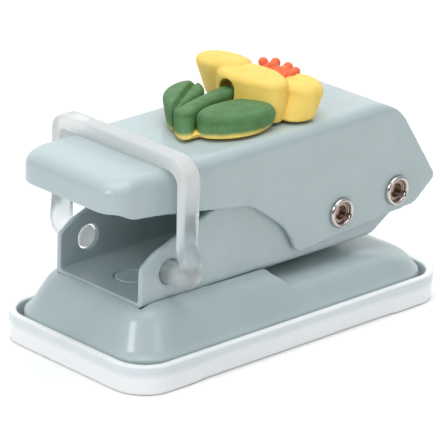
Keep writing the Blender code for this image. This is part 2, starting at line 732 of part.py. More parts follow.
def blob(name, shape, finish=None):
    """A cushion with an oval plan and a flat underside. Without a finish it is a cutter a gap larger."""
    centre, size, degrees, cut = shape
    bm = bmesh.new()
    bmesh.ops.create_uvsphere(bm, u_segments=BLOB_SEGMENTS, v_segments=BLOB_RINGS, radius=1.0)
    bmesh.ops.rotate(bm, verts=bm.verts, matrix=Matrix.Rotation(math.pi / 2.0, 3, "Y"))
    geometry = list(bm.verts) + list(bm.edges) + list(bm.faces)
    cut_made = bmesh.ops.bisect_plane(
        bm, geom=geometry, plane_co=(0.0, 0.0, cut), plane_no=(0.0, 0.0, -1.0), clear_outer=True
    )
    edges = [item for item in cut_made["geom_cut"] if isinstance(item, bmesh.types.BMEdge)]
    bmesh.ops.contextual_create(bm, geom=edges)
    bmesh.ops.translate(bm, verts=bm.verts, vec=(0.0, 0.0, -cut))
    grow = 0.0 if finish else CHARM_GAP
    half_length, half_width, height = (side * MM + grow for side in size)
    bmesh.ops.scale(bm, verts=bm.verts, vec=(half_length, half_width, (height + grow) / (1.0 - cut)))
    bmesh.ops.rotate(bm, verts=bm.verts, matrix=Matrix.Rotation(math.radians(degrees), 3, "Z"))
    x, y, lift = (side * MM for side in centre)
    for vert in bm.verts:
        vert.co += Vector((x, y, lift - grow))
        vert.co.z += charm_height(vert.co.x)
    return add_object(name, mesh_from(bm, name), finish, 60.0)


def build_flower_petals():
    """Three thick moulded petals, joined where they meet."""
    petals = blob("flower_petals", PETAL_FRONT, PETAL_YELLOW)
    for name, shape in (("petal_right", PETAL_RIGHT), ("petal_left", PETAL_LEFT)):
        lobe = blob(name, shape)
        boolean(petals, lobe, "UNION")
    return petals


def build_flower_stamens():
    """Orange cluster in the middle of the flower: a short stalk that ends in small knobs."""
    top = STAMEN_FOOT + Vector((0.0, 0.0, STAMEN_STALK))
    stalk = cylinder("flower_stamens", STAMEN_RADIUS, STAMEN_FOOT, top, 12)
    stamens = add_object("flower_stamens", stalk, STAMEN_ORANGE, 60.0)
    spread = STAMEN_RADIUS - 0.65 * MM
    for k in range(STAMEN_KNOBS):
        angle = 2.0 * math.pi * k / STAMEN_KNOBS
        place = top + Vector((spread * math.cos(angle), spread * math.sin(angle), 0.25 * MM))
        bm = bmesh.new()
        bmesh.ops.create_uvsphere(bm, u_segments=10, v_segments=6, radius=STAMEN_KNOB_RADIUS)
        bmesh.ops.translate(bm, verts=bm.verts, vec=place)
        name = f"stamen_knob_{k}"
        boolean(stamens, add_object(name, mesh_from(bm, name)), "UNION")
    return stamens


def build_greenery():
    """Stem and two leaves. They stop a gap short of the petals, and the leaves also of the stem."""
    near_petals = [blob("front_petal_clearance", PETAL_FRONT), blob("left_petal_clearance", PETAL_LEFT)]
    near_stem = near_petals + [blob("stem_clearance", STEM)]
    pieces = (
        ("flower_stem", STEM, near_petals),
        ("leaf_left", LEAF_LEFT, near_stem),
        ("leaf_right", LEAF_RIGHT, near_stem),
    )
    for name, shape, neighbours in pieces:
        piece = blob(name, shape, LEAF_GREEN)
        for neighbour in neighbours:
            boolean(piece, neighbour)


def build_charm_backing():
    """Thin yellow layer under the leaves and the stem, glued to the handle."""
    points = (
        (-0.6, -9.3), (-9.0, -9.2), (-12.9, -3.6), (-15.6, -2.2), (-15.9, 1.2), (-14.9, 5.4),
        (-8.8, 12.0), (-2.2, 12.2), (-0.6, 8.8),
    )
    outline = fillet([(x * MM, y * MM) for x, y in points], (1.2 * MM,) * len(points), 3)
    rings = []
    for height in (0.0, BACKING_THICKNESS):
        rings.append([(x, y, charm_height(x) + height) for x, y in outline])
    return add_object("charm_backing", loft(rings, "charm_backing"), PETAL_YELLOW)


# ---------------------------------------------------------------- assembly

clear_scene()
parts = make_collection("craft_punch")
cutters = make_collection("cutters")

build_chad_tray()
build_base_plate()
build_die_ring()
build_lower_frame()
build_frame_rivet("frame_rivet_front", RIVET_X[0])
build_frame_rivet("frame_rivet_rear", RIVET_X[1])
build_punch_guide()
build_handle()
build_cross_rivet("pivot_rivet", PIVOT)
build_cross_rivet("drive_rivet", DRIVE)
build_pivot_sleeve()
build_punch_pin()
build_return_spring()
build_lock_bail()
build_flower_petals()
build_flower_stamens()
build_greenery()
build_charm_backing()
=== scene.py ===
"""Looks of the small craft punch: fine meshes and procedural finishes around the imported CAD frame.

Lengths are in millimetres, in the frame's axes, and become metres when a mesh is made. +X is the
pivot end.
"""

import math

import bmesh
import bpy
from mathutils import Matrix, Vector


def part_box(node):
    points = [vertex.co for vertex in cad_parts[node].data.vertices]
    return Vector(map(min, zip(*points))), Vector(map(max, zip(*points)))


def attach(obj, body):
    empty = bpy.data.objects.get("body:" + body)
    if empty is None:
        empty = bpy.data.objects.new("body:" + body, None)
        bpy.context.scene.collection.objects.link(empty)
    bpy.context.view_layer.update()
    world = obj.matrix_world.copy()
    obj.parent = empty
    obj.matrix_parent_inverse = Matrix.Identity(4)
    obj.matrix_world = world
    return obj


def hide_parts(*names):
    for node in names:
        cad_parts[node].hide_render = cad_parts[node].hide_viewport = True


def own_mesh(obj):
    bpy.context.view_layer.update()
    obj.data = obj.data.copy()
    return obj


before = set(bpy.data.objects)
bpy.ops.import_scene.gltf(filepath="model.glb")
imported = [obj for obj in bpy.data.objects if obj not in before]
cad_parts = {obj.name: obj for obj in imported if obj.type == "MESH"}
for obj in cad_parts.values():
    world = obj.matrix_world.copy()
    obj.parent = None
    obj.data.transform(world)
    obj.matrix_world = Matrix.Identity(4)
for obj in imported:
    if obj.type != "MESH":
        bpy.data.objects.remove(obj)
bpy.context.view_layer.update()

MM = 0.001


def box(node):
    """A CAD node's lowest and highest corners, in millimetres."""
    low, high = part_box(node)
    return low / MM, high / MM


def middle(node):
    low, high = box(node)
    return (low + high) / 2.0


# Places read from the frame.
tray_high = box("chad_tray")[1]
base_high = box("base_plate")[1]
frame_low, frame_high = box("lower_frame")
handle_low, handle_high = box("handle")
bail_high = box("lock_bail")[1]
pin_low, pin_high = box("punch_pin")
PIVOT = middle("pivot_rivet")
DRIVE = middle("drive_rivet")
DIE_X = middle("die_ring").x
RIVET_X = (middle("frame_rivet_front").x, middle("frame_rivet_rear").x)

# Driving dimensions in millimetres.
SHEET = 1.2  # thickness of the pressed sheet
BASE_TOP = base_high.z
PLATEAU_Z = 13.5  # floor of the pocket under the channel frame
BED_Z = PLATEAU_Z - 2.0  # the bed that the paper lies on
PAPER_STOP_X = -1.1  # the step that the paper's edge meets
FLOOR_Z = frame_low.z  # underside of the channel's floor
WALL_TOP = frame_high.z
FRAME_HALF = frame_high.y
HANDLE_HALF = (handle_high.y - handle_low.y) / 2.0
HANDLE_Y = (handle_high.y + handle_low.y) / 2.0  # the handle has side play and sits off the middle
HANDLE_TOP = 42.2  # top of the handle above the origin
HANDLE_RISE = 0.02  # climb of the handle's top for each unit towards the pivot
BAIL_AXIS = Vector((-27.3, 1.15, 20.15))  # middle of the bail's peg axis
CHARM_Z = 42.75  # underside of the charm above the origin

SKIN_VOXEL = 0.3  # cell of the skin that covers a pressed sheet part
SOFT_VOXEL = 0.2  # cell of the skin that covers a moulded part
LATHE_SIDES = 96
ROD_SIDES = 64
CORNER_SPANS = 16  # spans in each rounded corner of the tray and the base
FAR = 60.0  # well past every part, for the open ends of cutters


# ---- mesh tools

def mesh_object(name, bm):
    """Turns a mesh in millimetres into a smooth-shaded object in metres."""
    bmesh.ops.recalc_face_normals(bm, faces=bm.faces)
    bmesh.ops.scale(bm, verts=bm.verts, vec=(MM, MM, MM))
    mesh = bpy.data.meshes.new(name)
    bm.to_mesh(mesh)
    bm.free()
    mesh.shade_smooth()
    obj = bpy.data.objects.new(name, mesh)
    bpy.context.scene.collection.objects.link(obj)
    return obj


def loft(name, rings):
    """Quads through rings of equal count. Each end is closed with one face."""
    bm = bmesh.new()
    loops = [[bm.verts.new(point) for point in ring] for ring in rings]
    for lower, upper in zip(loops, loops[1:]):
        for i in range(len(lower)):
            j = (i + 1) % len(lower)
            bm.faces.new((lower[i], lower[j], upper[j], upper[i]))
    bm.faces.new(list(reversed(loops[0])))
    bm.faces.new(loops[-1])
    return mesh_object(name, bm)


def smooth_step(share):
    share = min(max(share, 0.0), 1.0)
    return share * share * (3.0 - 2.0 * share)


def fillet(points, radii, steps=10):
    """A closed outline with every corner rounded by its own radius."""
    outline = []
    count = len(points)
    for i, (corner, radius) in enumerate(zip(points, radii)):
        corner = Vector(corner)
        if radius <= 0.0:
            outline.append(corner)
            continue
        before = (Vector(points[i - 1]) - corner).normalized()
        after = (Vector(points[(i + 1) % count]) - corner).normalized()
        half = before.angle(after) / 2.0
        centre = corner + (before + after).normalized() * (radius / math.sin(half))
        start = corner + before * (radius / math.tan(half)) - centre
        end = corner + after * (radius / math.tan(half)) - centre
        turn = math.atan2(start.x * end.y - start.y * end.x, start.dot(end))
        for k in range(steps + 1):
            outline.append(centre + Matrix.Rotation(turn * k / steps, 2) @ start)
    return outline


def rounded_rectangle(half_x, half_y, radius):
    """A plan round the origin, from the rear right corner anticlockwise to the front right."""
    corners = ((half_x, -half_y), (half_x, half_y), (-half_x, half_y), (-half_x, -half_y))
    return fillet(corners, (radius,) * 4, CORNER_SPANS)


def through(points, steps, closed=True):
    """A smooth curve through a few points (Catmull-Rom)."""
    points = [Vector(point) for point in points]
    count = len(points)
    curve = []
    spans = count if closed else count - 1
    for i in range(spans):
        before = points[i - 1] if closed or i > 0 else points[0]
        start = points[i]
        end = points[(i + 1) % count]
        after = points[(i + 2) % count] if closed or i + 2 < count else points[-1]
        for k in range(steps):
            t = k / steps
            curve.append(
                0.5 * (
                    2.0 * start
                    + (end - before) * t
                    + (2.0 * before - 5.0 * start + 4.0 * end - after) * t * t
                    + (3.0 * start - before - 3.0 * end + after) * t * t * t
                )
            )
    if not closed:
        curve.append(points[-1])
    return curve


def prism(name, outline, half_thickness):
    """A cutter with an outline in x and z that stands across y."""
    rings = [[(p[0], y, p[1]) for p in outline] for y in (-half_thickness, half_thickness)]
    return loft(name, rings)


def rod(name, radius, start, end):
    """A round cutter between two points."""
    start, end = Vector(start), Vector(end)
    bm = bmesh.new()
    length = (end - start).length
    bmesh.ops.create_cone(
        bm, cap_ends=True, segments=ROD_SIDES, radius1=radius, radius2=radius, depth=length
    )
    turn = Vector((0.0, 0.0, 1.0)).rotation_difference(end - start).to_matrix().to_4x4()
    bm.transform(Matrix.Translation((start + end) / 2.0) @ turn)
    return mesh_object(name, bm)


def combine(obj, other, operation):
    modifier = obj.modifiers.new(operation.title(), "BOOLEAN")
    modifier.operation = operation
    modifier.solver = "EXACT"
    modifier.object = other
    bake(obj)
    bpy.data.objects.remove(other, do_unlink=True)


def cut(obj, other):
    combine(obj, other, "DIFFERENCE")


def join(obj, other):
    combine(obj, other, "UNION")


def bake(obj):
    """Applies the object's modifiers."""
    evaluated = obj.evaluated_get(bpy.context.evaluated_depsgraph_get())
    mesh = bpy.data.meshes.new_from_object(evaluated)
    obj.modifiers.clear()
    obj.data = mesh
    mesh.name = obj.name


def skin(obj, voxel, relax):
    """Covers a solid with an even mesh whose edges are softly rounded, as under paint."""
    remesh = obj.modifiers.new("Skin", "REMESH")
    remesh.mode = "VOXEL"
    remesh.voxel_size = voxel * MM
    remesh.use_smooth_shade = True
    smooth = obj.modifiers.new("Relax", "SMOOTH")
    smooth.factor = 0.5
    smooth.iterations = relax
    bake(obj)
    obj.data.shade_smooth()


def lathe(name, profile, at, tilt=None):
    """A turned piece. The profile is (radius, height), top to bottom on the outer side. It closes
    on itself where neither end is on the axis."""
    bm = bmesh.new()
    closed = profile[0][0] > 0.0 and profile[-1][0] > 0.0
    rows = []
    for radius, height in profile:
        if radius <= 0.0:
            rows.append([bm.verts.new((0.0, 0.0, height))])
            continue
        row = []
        for k in range(LATHE_SIDES):
            angle = 2.0 * math.pi * k / LATHE_SIDES
            row.append(bm.verts.new((radius * math.cos(angle), radius * math.sin(angle), height)))
        rows.append(row)
    pairs = list(zip(rows, rows[1:]))
    if closed:
        pairs.append((rows[-1], rows[0]))
    for upper, lower in pairs:
        for k in range(LATHE_SIDES):
            j = (k + 1) % LATHE_SIDES
            corners = [upper[k % len(upper)], upper[j % len(upper)]]
            corners += [lower[j % len(lower)], lower[k % len(lower)]]
            bm.faces.new(list(dict.fromkeys(corners)))
    place = Matrix.Translation(Vector(at))
    if tilt:
        place = place @ Matrix.Rotation(tilt[0], 4, tilt[1])
    bm.transform(place)
    obj = mesh_object(name, bm)
    obj.data.set_sharp_from_angle(angle=math.radians(50.0))
    return obj


def soften(profile, radius=0.12, steps=3):
    """Rounds the corners of an open profile a little."""
    softened = [Vector(profile[0])]
    for before, corner, after in zip(profile, profile[1:], profile[2:]):
        before, corner, after = Vector(before), Vector(corner), Vector(after)
        reach = min(radius, 0.4 * (before - corner).length, 0.4 * (after - corner).length)
        start = corner + (before - corner).normalized() * reach
        end = corner + (after - corner).normalized() * reach
        for k in range(steps + 1):
            t = k / steps
            softened.append(start * (1 - t) ** 2 + corner * 2 * t * (1 - t) + end * t * t)
    softened.append(Vector(profile[-1]))
    return [tuple(point) for point in softened]


def install(obj, body, material, slot, *nodes):
    """Gives a piece its finish and its body, and hides the CAD nodes that it stands for."""
    obj.data.materials.clear()
    obj.data.materials.append(material)
    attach(obj, body)
    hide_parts(*nodes)


# ---- finishes

class Finish:
    """A Principled material driven by procedural nodes in object coordinates, in metres."""

    def __init__(self, name, **values):
        self.material = bpy.data.materials.new(name)
        self.material.use_nodes = True
        self.tree = self.material.node_tree
        self.shader = self.tree.nodes["Principled BSDF"]
        self.place = self.tree.nodes.new("ShaderNodeTexCoord").outputs["Object"]
        for key, value in values.items():
            self.set(key.replace("_", " "), value)

    def set(self, socket, value):
        self._put(self.shader.inputs[socket], value)

    def _put(self, socket, value):
        if isinstance(value, bpy.types.NodeSocket):
            self.tree.links.new(value, socket)
        elif hasattr(value, "__len__") and len(value) == 3 and socket.type == "RGBA":
            socket.default_value = (*value, 1.0)
        else:
            socket.default_value = value

    def node(self, kind, inputs=(), output=0, **attributes):
        node = self.tree.nodes.new("ShaderNode" + kind)
        for key, value in attributes.items():
            setattr(node, key, value)
        for key, value in dict(inputs).items():
            self._put(node.inputs[key], value)
        return node.outputs[output]

    def stretched(self, scale):
        """Object coordinates with each axis scaled."""
        return self.node("Mapping", {"Vector": self.place, "Scale": scale})

    def noise(self, size, detail=4.0, rough=0.5, place=None):
        """Cloudy noise from 0 to 1 with features of this size in millimetres."""
        inputs = {
            "Vector": place or self.place,
            "Scale": 1.0 / (size * MM),
            "Detail": detail,
            "Roughness": rough,
        }
        return self.node("TexNoise", inputs)

    def range(self, value, low, high, to_low=0.0, to_high=1.0):
        """Carries a value from one span to another and clamps it."""
        inputs = {
            "Value": value,
            "From Min": low,
            "From Max": high,
            "To Min": to_low,
            "To Max": to_high,
        }
        return self.node("MapRange", inputs)

    def maths(self, operation, first, second=0.0):
        return self.node("Math", {0: first, 1: second}, operation=operation)

    def mix(self, share, first, second):
        """Mixes two colours."""
        node = self.tree.nodes.new("ShaderNodeMix")
        node.data_type = "RGBA"
        self._put(node.inputs[0], share)
        self._put(node.inputs[6], first)
        self._put(node.inputs[7], second)
        return node.outputs[2]

    def specks(self, spacing, size, share):
        """Small scattered dots, with their spacing, their size and the share of cells with one."""
        cells = self.tree.nodes.new("ShaderNodeTexVoronoi")
        self._put(cells.inputs["Vector"], self.place)
        cells.inputs["Scale"].default_value = 1.0 / (spacing * MM)
        near = self.range(cells.outputs["Distance"], 0.6 * size / spacing, size / spacing, 1.0, 0.0)
        pick = self.node("SeparateColor", {0: cells.outputs["Color"]})
        chosen = self.maths("LESS_THAN", pick, share)
        return self.maths("MULTIPLY", near, chosen)

    def edges(self):
        """From 0 on flats to 1 on sharp outer edges."""
        return self.range(self.node("NewGeometry", output="Pointiness"), 0.53, 0.62)

    def hollows(self):
        """From 0 on flats to 1 in corners and recesses."""
        return self.range(self.node("NewGeometry", output="Pointiness"), 0.42, 0.49, 1.0, 0.0)

    def bump(self, *layers):
        """Relief from pairs of height and depth, where the depth is in millimetres."""
        normal = None
        for height, depth in layers:
            inputs = {"Height": height, "Distance": depth * MM, "Strength": 1.0}
            if normal:
                inputs["Normal"] = normal
            normal = self.node("Bump", inputs)
        self.set("Normal", normal)


def paint(name, colour, speck_share=0.1):
    """Satin powder coat: fine orange peel, faint clouding, a few dark specks and a painted highlight
    that makes the sharp edges paler.
    """
    finish = Finish(name, IOR=1.5)
    darker = [0.93 * c for c in colour]
    paler = [min(1.0, 1.12 * c + 0.02) for c in colour]
    cloud = finish.range(finish.noise(9.0, 5.0, 0.6), 0.3, 0.7)
    tone = finish.mix(cloud, darker, colour)
    # Painted highlight: the sharp outer edges are made paler.
    tone = finish.mix(finish.maths("MULTIPLY", finish.edges(), 0.45), tone, paler)
    large_specks = finish.specks(6.0, 0.16, speck_share)
    small_specks = finish.specks(2.6, 0.07, 0.05)
    spots = finish.maths("MAXIMUM", large_specks, small_specks)
    tone = finish.mix(finish.maths("MULTIPLY", spots, 0.75), tone, (0.10, 0.13, 0.13))
    finish.set("Base Color", tone)
    fine = finish.noise(0.45, 2.0)
    finish.set("Roughness", finish.range(finish.noise(2.0, 6.0, 0.65), 0.3, 0.7, 0.36, 0.50))
    finish.set("Coat Weight", 0.5)
    finish.set("Coat Roughness", 0.16)
    finish.bump((fine, 0.018), (finish.noise(2.6, 3.0), 0.03))
    return finish.material


def frosted(name, tints_with_painted_shade, clearness, levels):
    """Frosted translucent moulding with cloudy flow marks. Its tint and clearness change with
    height: each level is the span over which one gives way to the next. The grey tints are painted
    shade, for dark parts seen through the plastic."""
    finish = Finish(name, IOR=1.46)
    height = finish.node("SeparateXYZ", {0: finish.place}, output=2)
    marks = finish.noise(7.0, 4.0, 0.55, finish.stretched((0.35, 1.0, 1.6)))
    flow = finish.range(marks, 0.3, 0.7, 0.94, 1.0)
    # Painted shade: the grey tints darken the bands where dark parts show through.
    tone, clear = tints_with_painted_shade[0], clearness[0]
    for (low, high), colour, following in zip(levels, tints_with_painted_shade[1:], clearness[1:]):
        share = finish.range(height, low * MM, high * MM)
        tone = finish.mix(share, tone, colour)
        clear = finish.range(share, 0.0, 1.0, clear, following)
    grey = finish.node("CombineXYZ", {0: flow, 1: flow, 2: flow})
    shade = finish.node("VectorMath", {0: tone, 1: grey}, operation="MULTIPLY")
    finish.set("Base Color", shade)
    finish.set("Transmission Weight", clear)
    finish.set("Roughness", 0.32)
    return finish.material


def moulded(name, colour, shade, paler, yellow_below=None):
    """Matt soft moulding with cloudy pigment, small pits and scuffs. The yellow layer under the
    colour shows below a height, which climbs with the handle's top."""
    finish = Finish(name, IOR=1.45)
    cloud = finish.range(finish.noise(3.2, 5.0, 0.6), 0.32, 0.68)
    tone = finish.mix(cloud, shade, colour)
    scuffs = finish.noise(1.2, 8.0, 0.7, finish.stretched((1.0, 2.2, 0.7)))
    tone = finish.mix(finish.range(scuffs, 0.58, 0.74, 0.0, 0.35), tone, paler)
    pits = finish.specks(1.9, 0.16, 0.10)
    tone = finish.mix(finish.maths("MULTIPLY", pits, 0.6), tone, [0.25 * c for c in shade])
    if yellow_below:
        height = finish.node("SeparateXYZ", {0: finish.place}, output=2)
        along = finish.node("SeparateXYZ", {0: finish.place}, output=0)
        slope = finish.maths("MULTIPLY", along, -HANDLE_RISE)
        wander = finish.range(finish.noise(3.0, 3.0), 0.3, 0.7, -0.15 * MM, 0.15 * MM)
        edge = finish.maths("ADD", finish.maths("ADD", height, slope), wander)
        low = (yellow_below - 0.45) * MM
        tone = finish.mix(finish.range(edge, low, low + 0.8 * MM, 1.0, 0.0), tone, YELLOW)
    finish.set("Base Color", tone)
    finish.set("Roughness", finish.range(finish.noise(0.9, 5.0), 0.3, 0.7, 0.50, 0.68))
    finish.set("Subsurface Weight", 0.12)
    finish.set("Subsurface Radius", (1.0, 0.6, 0.3))
    finish.set("Subsurface Scale", 0.8 * MM)
    grain = finish.noise(0.35, 4.0, 0.6)
    finish.bump((grain, 0.03), (finish.noise(2.2, 4.0), 0.10), (pits, -0.10))
    return finish.material


def metal(name, colour, rough, brushing=(1.0, 1.0, 1.0), recess_tone=None, axis=None):
    """Bare or plated metal with fine scratches and uneven gloss. Its hollows take a darker tone, and
    painted shade darkens the recess round an axis across y."""
    finish = Finish(name, Metallic=1.0)
    lines = finish.noise(0.5, 8.0, 0.7, finish.stretched(brushing))
    cloud = finish.noise(1.6, 5.0, 0.6)
    tone = finish.mix(finish.range(cloud, 0.3, 0.7), [0.86 * c for c in colour], colour)
    if recess_tone:
        tone = finish.mix(finish.maths("MULTIPLY", finish.hollows(), 0.7), tone, recess_tone)
    if axis:
        side_view = (1.0, 0.0, 1.0)
        flat = finish.node("VectorMath", {0: finish.place, 1: side_view}, operation="MULTIPLY")
        middle = (axis.x * MM, 0.0, axis.z * MM)
        away = finish.node("VectorMath", {0: flat, 1: middle}, operation="DISTANCE", output=1)
        # Painted shade: the rivet's recess within about 2.5 mm of the axis is darkened.
        painted_recess_shade = finish.range(away, 2.0 * MM, 2.5 * MM, 0.85, 0.0)
        tone = finish.mix(painted_recess_shade, tone, recess_tone)
    finish.set("Base Color", tone)
    finish.set("Roughness", finish.range(lines, 0.25, 0.75, 0.6 * rough, 1.6 * rough))
    finish.bump((lines, 0.006), (cloud, 0.01))
    return finish.material


YELLOW = (0.88, 0.645, 0.155)
PAINT = (0.435, 0.53, 0.545)
GREEN = (0.10, 0.235, 0.085)

paint_base = paint("base_paint", PAINT, 0.16)
paint_frame = paint("frame_paint", PAINT)
paint_handle = paint("handle_paint", PAINT, 0.06)
paint_rivet = paint("rivet_paint", [1.06 * c for c in PAINT])
# The grey tint below the rim is painted shade of the dark inside seen through the wall.
tray_plastic = frosted(
    "tray_plastic",
    ((0.98, 0.99, 0.995), (0.96, 0.985, 0.995), (0.77, 0.83, 0.86), (0.98, 0.985, 0.99)),
    (0.04, 0.04, 0.04, 0.04),
    ((0.6, 2.0), (3.2, 4.6), (5.6, 6.2)),
)
# The grey tint on the middle of the legs is painted shade.
bail_plastic = frosted(
    "bail_plastic",
    ((0.95, 0.97, 0.98), (0.80, 0.86, 0.88), (0.97, 0.98, 0.975)),
    (0.86, 0.84, 0.55),
    ((21.5, 24.5), (30.0, 39.0)),
)
petal_finish = moulded("petal_yellow", YELLOW, (0.84, 0.59, 0.12), (0.92, 0.73, 0.30))
leaf_finish = moulded("leaf_green", GREEN, (0.065, 0.17, 0.06), (0.22, 0.36, 0.20), CHARM_Z + 0.75)
stamen_finish = moulded("stamen_orange", (0.90, 0.22, 0.09), (0.80, 0.13, 0.05), (0.92, 0.36, 0.28))
nickel = metal("nickel_plate", (0.66, 0.61, 0.57), 0.16, recess_tone=(0.34, 0.25, 0.20))
# The recess tone also paints shade into each cross rivet's recess.
RIVET_PLATE, RIVET_RECESS_TONE = (0.64, 0.59, 0.56), (0.27, 0.19, 0.15)
pivot_nickel = metal("pivot_nickel", RIVET_PLATE, 0.18, recess_tone=RIVET_RECESS_TONE, axis=PIVOT)
drive_nickel = metal("drive_nickel", RIVET_PLATE, 0.18, recess_tone=RIVET_RECESS_TONE, axis=DRIVE)
ground_steel = metal("ground_steel", (0.52, 0.53, 0.54), 0.26, (0.6, 0.6, 6.0))
spring_steel = metal("spring_wire", (0.58, 0.57, 0.55), 0.24)


# ---- tray

TRAY_CORNER = 8.0
LEDGE_HALF, LEDGE_FADE = 27.0, 0.25  # half length of the ledge and how softly it ends
POINT_GAP = 1.2  # room between the extra points along a side


def tray_ring(z, inset, ledge=0.0):
    """A rounded rectangle with extra points along its sides. The ledge draws in the middle of the
    long sides."""
    half_y = tray_high.y - inset
    outline = rounded_rectangle(tray_high.x - inset, half_y, TRAY_CORNER - inset)
    points = []
    count = len(outline)
    for i, point in enumerate(outline):
        following = outline[(i + 1) % count]
        span = following - point
        pieces = max(1, round(span.length / POINT_GAP)) if span.length > 5.0 else 1
        for k in range(pieces):
            spot = point + span * k / pieces
            edge = 1.0 / (1.0 + math.exp((abs(spot.x) - LEDGE_HALF) / LEDGE_FADE))
            drawn = ledge * edge if abs(spot.y) > half_y - 0.01 else 0.0
            points.append((spot.x, spot.y - math.copysign(drawn, spot.y), z))
    return points


def build_tray():
    """A pot from rings that run up the outside and down the inside, with both floors filled."""
    top = tray_high.z
    draft = 0.25  # how far the walls lean out from foot to rim
    ledge = 0.35  # depth of the drawn-in part of the long walls
    foot_bevel = ((0.0, 0.75), (0.05, 0.45), (0.2, 0.15), (0.45, 0.0))
    outer = [tray_ring(z, draft + inset, ledge) for z, inset in foot_bevel]
    outer += [tray_ring(z, draft * (1.0 - z / top), ledge) for z in (1.0, 2.0, 3.0, 3.9)]
    outer += [tray_ring(4.15, 0.08, 0.6 * ledge), tray_ring(4.3, 0.07, 0.15 * ledge)]
    outer += [tray_ring(4.5, 0.06), tray_ring(5.0, 0.02), tray_ring(top - 0.5, 0.02)]
    rim = ((0.2, 0.05), (0.05, 0.2), (0.0, 0.45), (0.0, 1.15), (0.05, 1.4), (0.2, 1.55), (0.5, 1.6))
    over = [tray_ring(top - below, inset) for below, inset in rim]
    inner = [tray_ring(z, 1.6 + 0.04 * (top - z)) for z in (4.6, 3.2, 2.2)]
    inner += [tray_ring(1.6, 1.9), tray_ring(1.3, 2.2), tray_ring(1.2, 2.6)]
    tray = loft("tray_shell", outer + over + inner)
    tray.data.set_sharp_from_angle(angle=math.radians(60.0))
    install(tray, "tray", tray_plastic, "tray_plastic", "chad_tray")


# ---- base

FOOT_Z = 1.6  # lower edge of the base's straight foot
FRONT_SKIRT = (  # height and how far it is drawn in from the foot
    (FOOT_Z, 0.0), (6.0, 0.0), (6.9, 0.85), (8.6, 1.75), (11.2, 2.95), (12.6, 3.8), (13.55, 4.8),
    (14.2, 6.0), (BASE_TOP, 7.4), (BASE_TOP, 12.0), (BASE_TOP, 17.0),
)
BED_SKIRT = (
    (FOOT_Z, 0.0), (6.0, 0.0), (6.9, 0.85), (8.3, 1.7), (9.9, 2.6), (10.8, 3.6), (11.3, 4.8),
    (BED_Z, 6.2), (BED_Z, 7.6), (BED_Z, 12.0), (BED_Z, 17.0),
)
STOP_RAMP = (-2.3, 2.0)  # the paper stop falls to the bed between these places
NOSE_LIFT = 0.35  # rise of the dome's top towards the front end


def skirt_plan(drawn, drawn_x, offset):
    """The dome's outline where its slope is drawn in this far along y and along x."""
    half_x = base_high.x - drawn_x - offset
    half_y = base_high.y - drawn - offset
    corner = min(max(8.6 - 0.45 * drawn - offset, 0.2), 0.9 * half_y)
    return rounded_rectangle(half_x, half_y, corner)


def base_form(name, offset):
    """The filled dome: a straight foot and a flared slope up to the frame, with a lower dome behind
    the stop. With an offset it is the hollow, which is open below the foot."""
    rings = []
    front = [Vector(FRONT_SKIRT[0])] + through(FRONT_SKIRT[1:], 4, closed=False)
    rear = [Vector(BED_SKIRT[0])] + through(BED_SKIRT[1:], 4, closed=False)
    stations = [STOP_RAMP[0] - 1.0 + 0.3 * k for k in range(32)]
    half_way = 2 * (CORNER_SPANS + 1)
    drop = 1.0 if offset else 0.0
    for (z_front, in_front), (z_rear, in_rear) in zip(front, rear):
        front_plan = skirt_plan(in_front, in_front, offset)
        longer = 1.0 + 0.9 * smooth_step((z_rear - 8.0) / 3.0)  # the rear end slopes more
        rear_plan = skirt_plan(in_rear, in_rear * longer, offset)
        level_front = z_front - (offset if z_front > FOOT_Z + 0.1 else drop)
        level_rear = z_rear - (offset if z_rear > FOOT_Z + 0.1 else drop)
        ring = [(point.x, point.y, level_rear) for point in rear_plan[:half_way]]
        left = (front_plan[half_way].y, rear_plan[half_way - 1].y)
        ring += side_points(list(reversed(stations)), *left, level_front, level_rear)
        lifted = NOSE_LIFT * smooth_step((z_front - 11.0) / 3.5)
        for point in front_plan[half_way:]:
            lift = lifted * smooth_step((-20.0 - point.x) / 14.0)
            ring.append((point.x, point.y, level_front + lift))
        right = (front_plan[-1].y, rear_plan[0].y)
        ring += side_points(stations, *right, level_front, level_rear)
        rings.append(ring)
    return loft(name, rings)


def side_points(stations, front_y, rear_y, front_z, rear_z):
    """Points along a long side, blended from the front form to the bed form across the paper stop.
    The stop runs back a little towards the outside."""
    points = []
    late = 2.0 * smooth_step((abs(front_y) - 13.5) / 4.0)
    for x in stations:
        share = smooth_step((x - late - STOP_RAMP[0]) / (STOP_RAMP[1] - STOP_RAMP[0]))
        y = front_y + share * (rear_y - front_y)
        points.append((x, y, front_z + share * (rear_z - front_z)))
    return points


def bed_cutter(name, offset):
    """Takes the rear down to the bed under the channel frame, with a soft foot at the stop."""
    stop = PAPER_STOP_X - offset
    top = BED_Z - offset
    high = 30.0
    points = (
        (stop - 0.4, high), (stop - 0.4, BASE_TOP - offset), (stop + 0.5, top),
        (FAR, top), (FAR, high),
    )
    return prism(name, fillet(points, (0.0, 0.3, 0.5, 0.0, 0.0)), FRAME_HALF + offset)


def pocket_cutter(name, offset):
    """Room for the channel frame in the top of the base. The pocket's rim reaches a little into the
    frame's sheet."""
    low_x, half = frame_low.x + 0.1 - offset, FRAME_HALF - 0.3 + offset
    corners = ((FAR, -half), (FAR, half), (low_x, half), (low_x, -half))
    plan = fillet(corners, (0.0, 0.0, 0.4 + offset, 0.4 + offset))
    return loft(name, [[(p.x, p.y, z) for p in plan] for z in (PLATEAU_Z - offset, 30.0)])


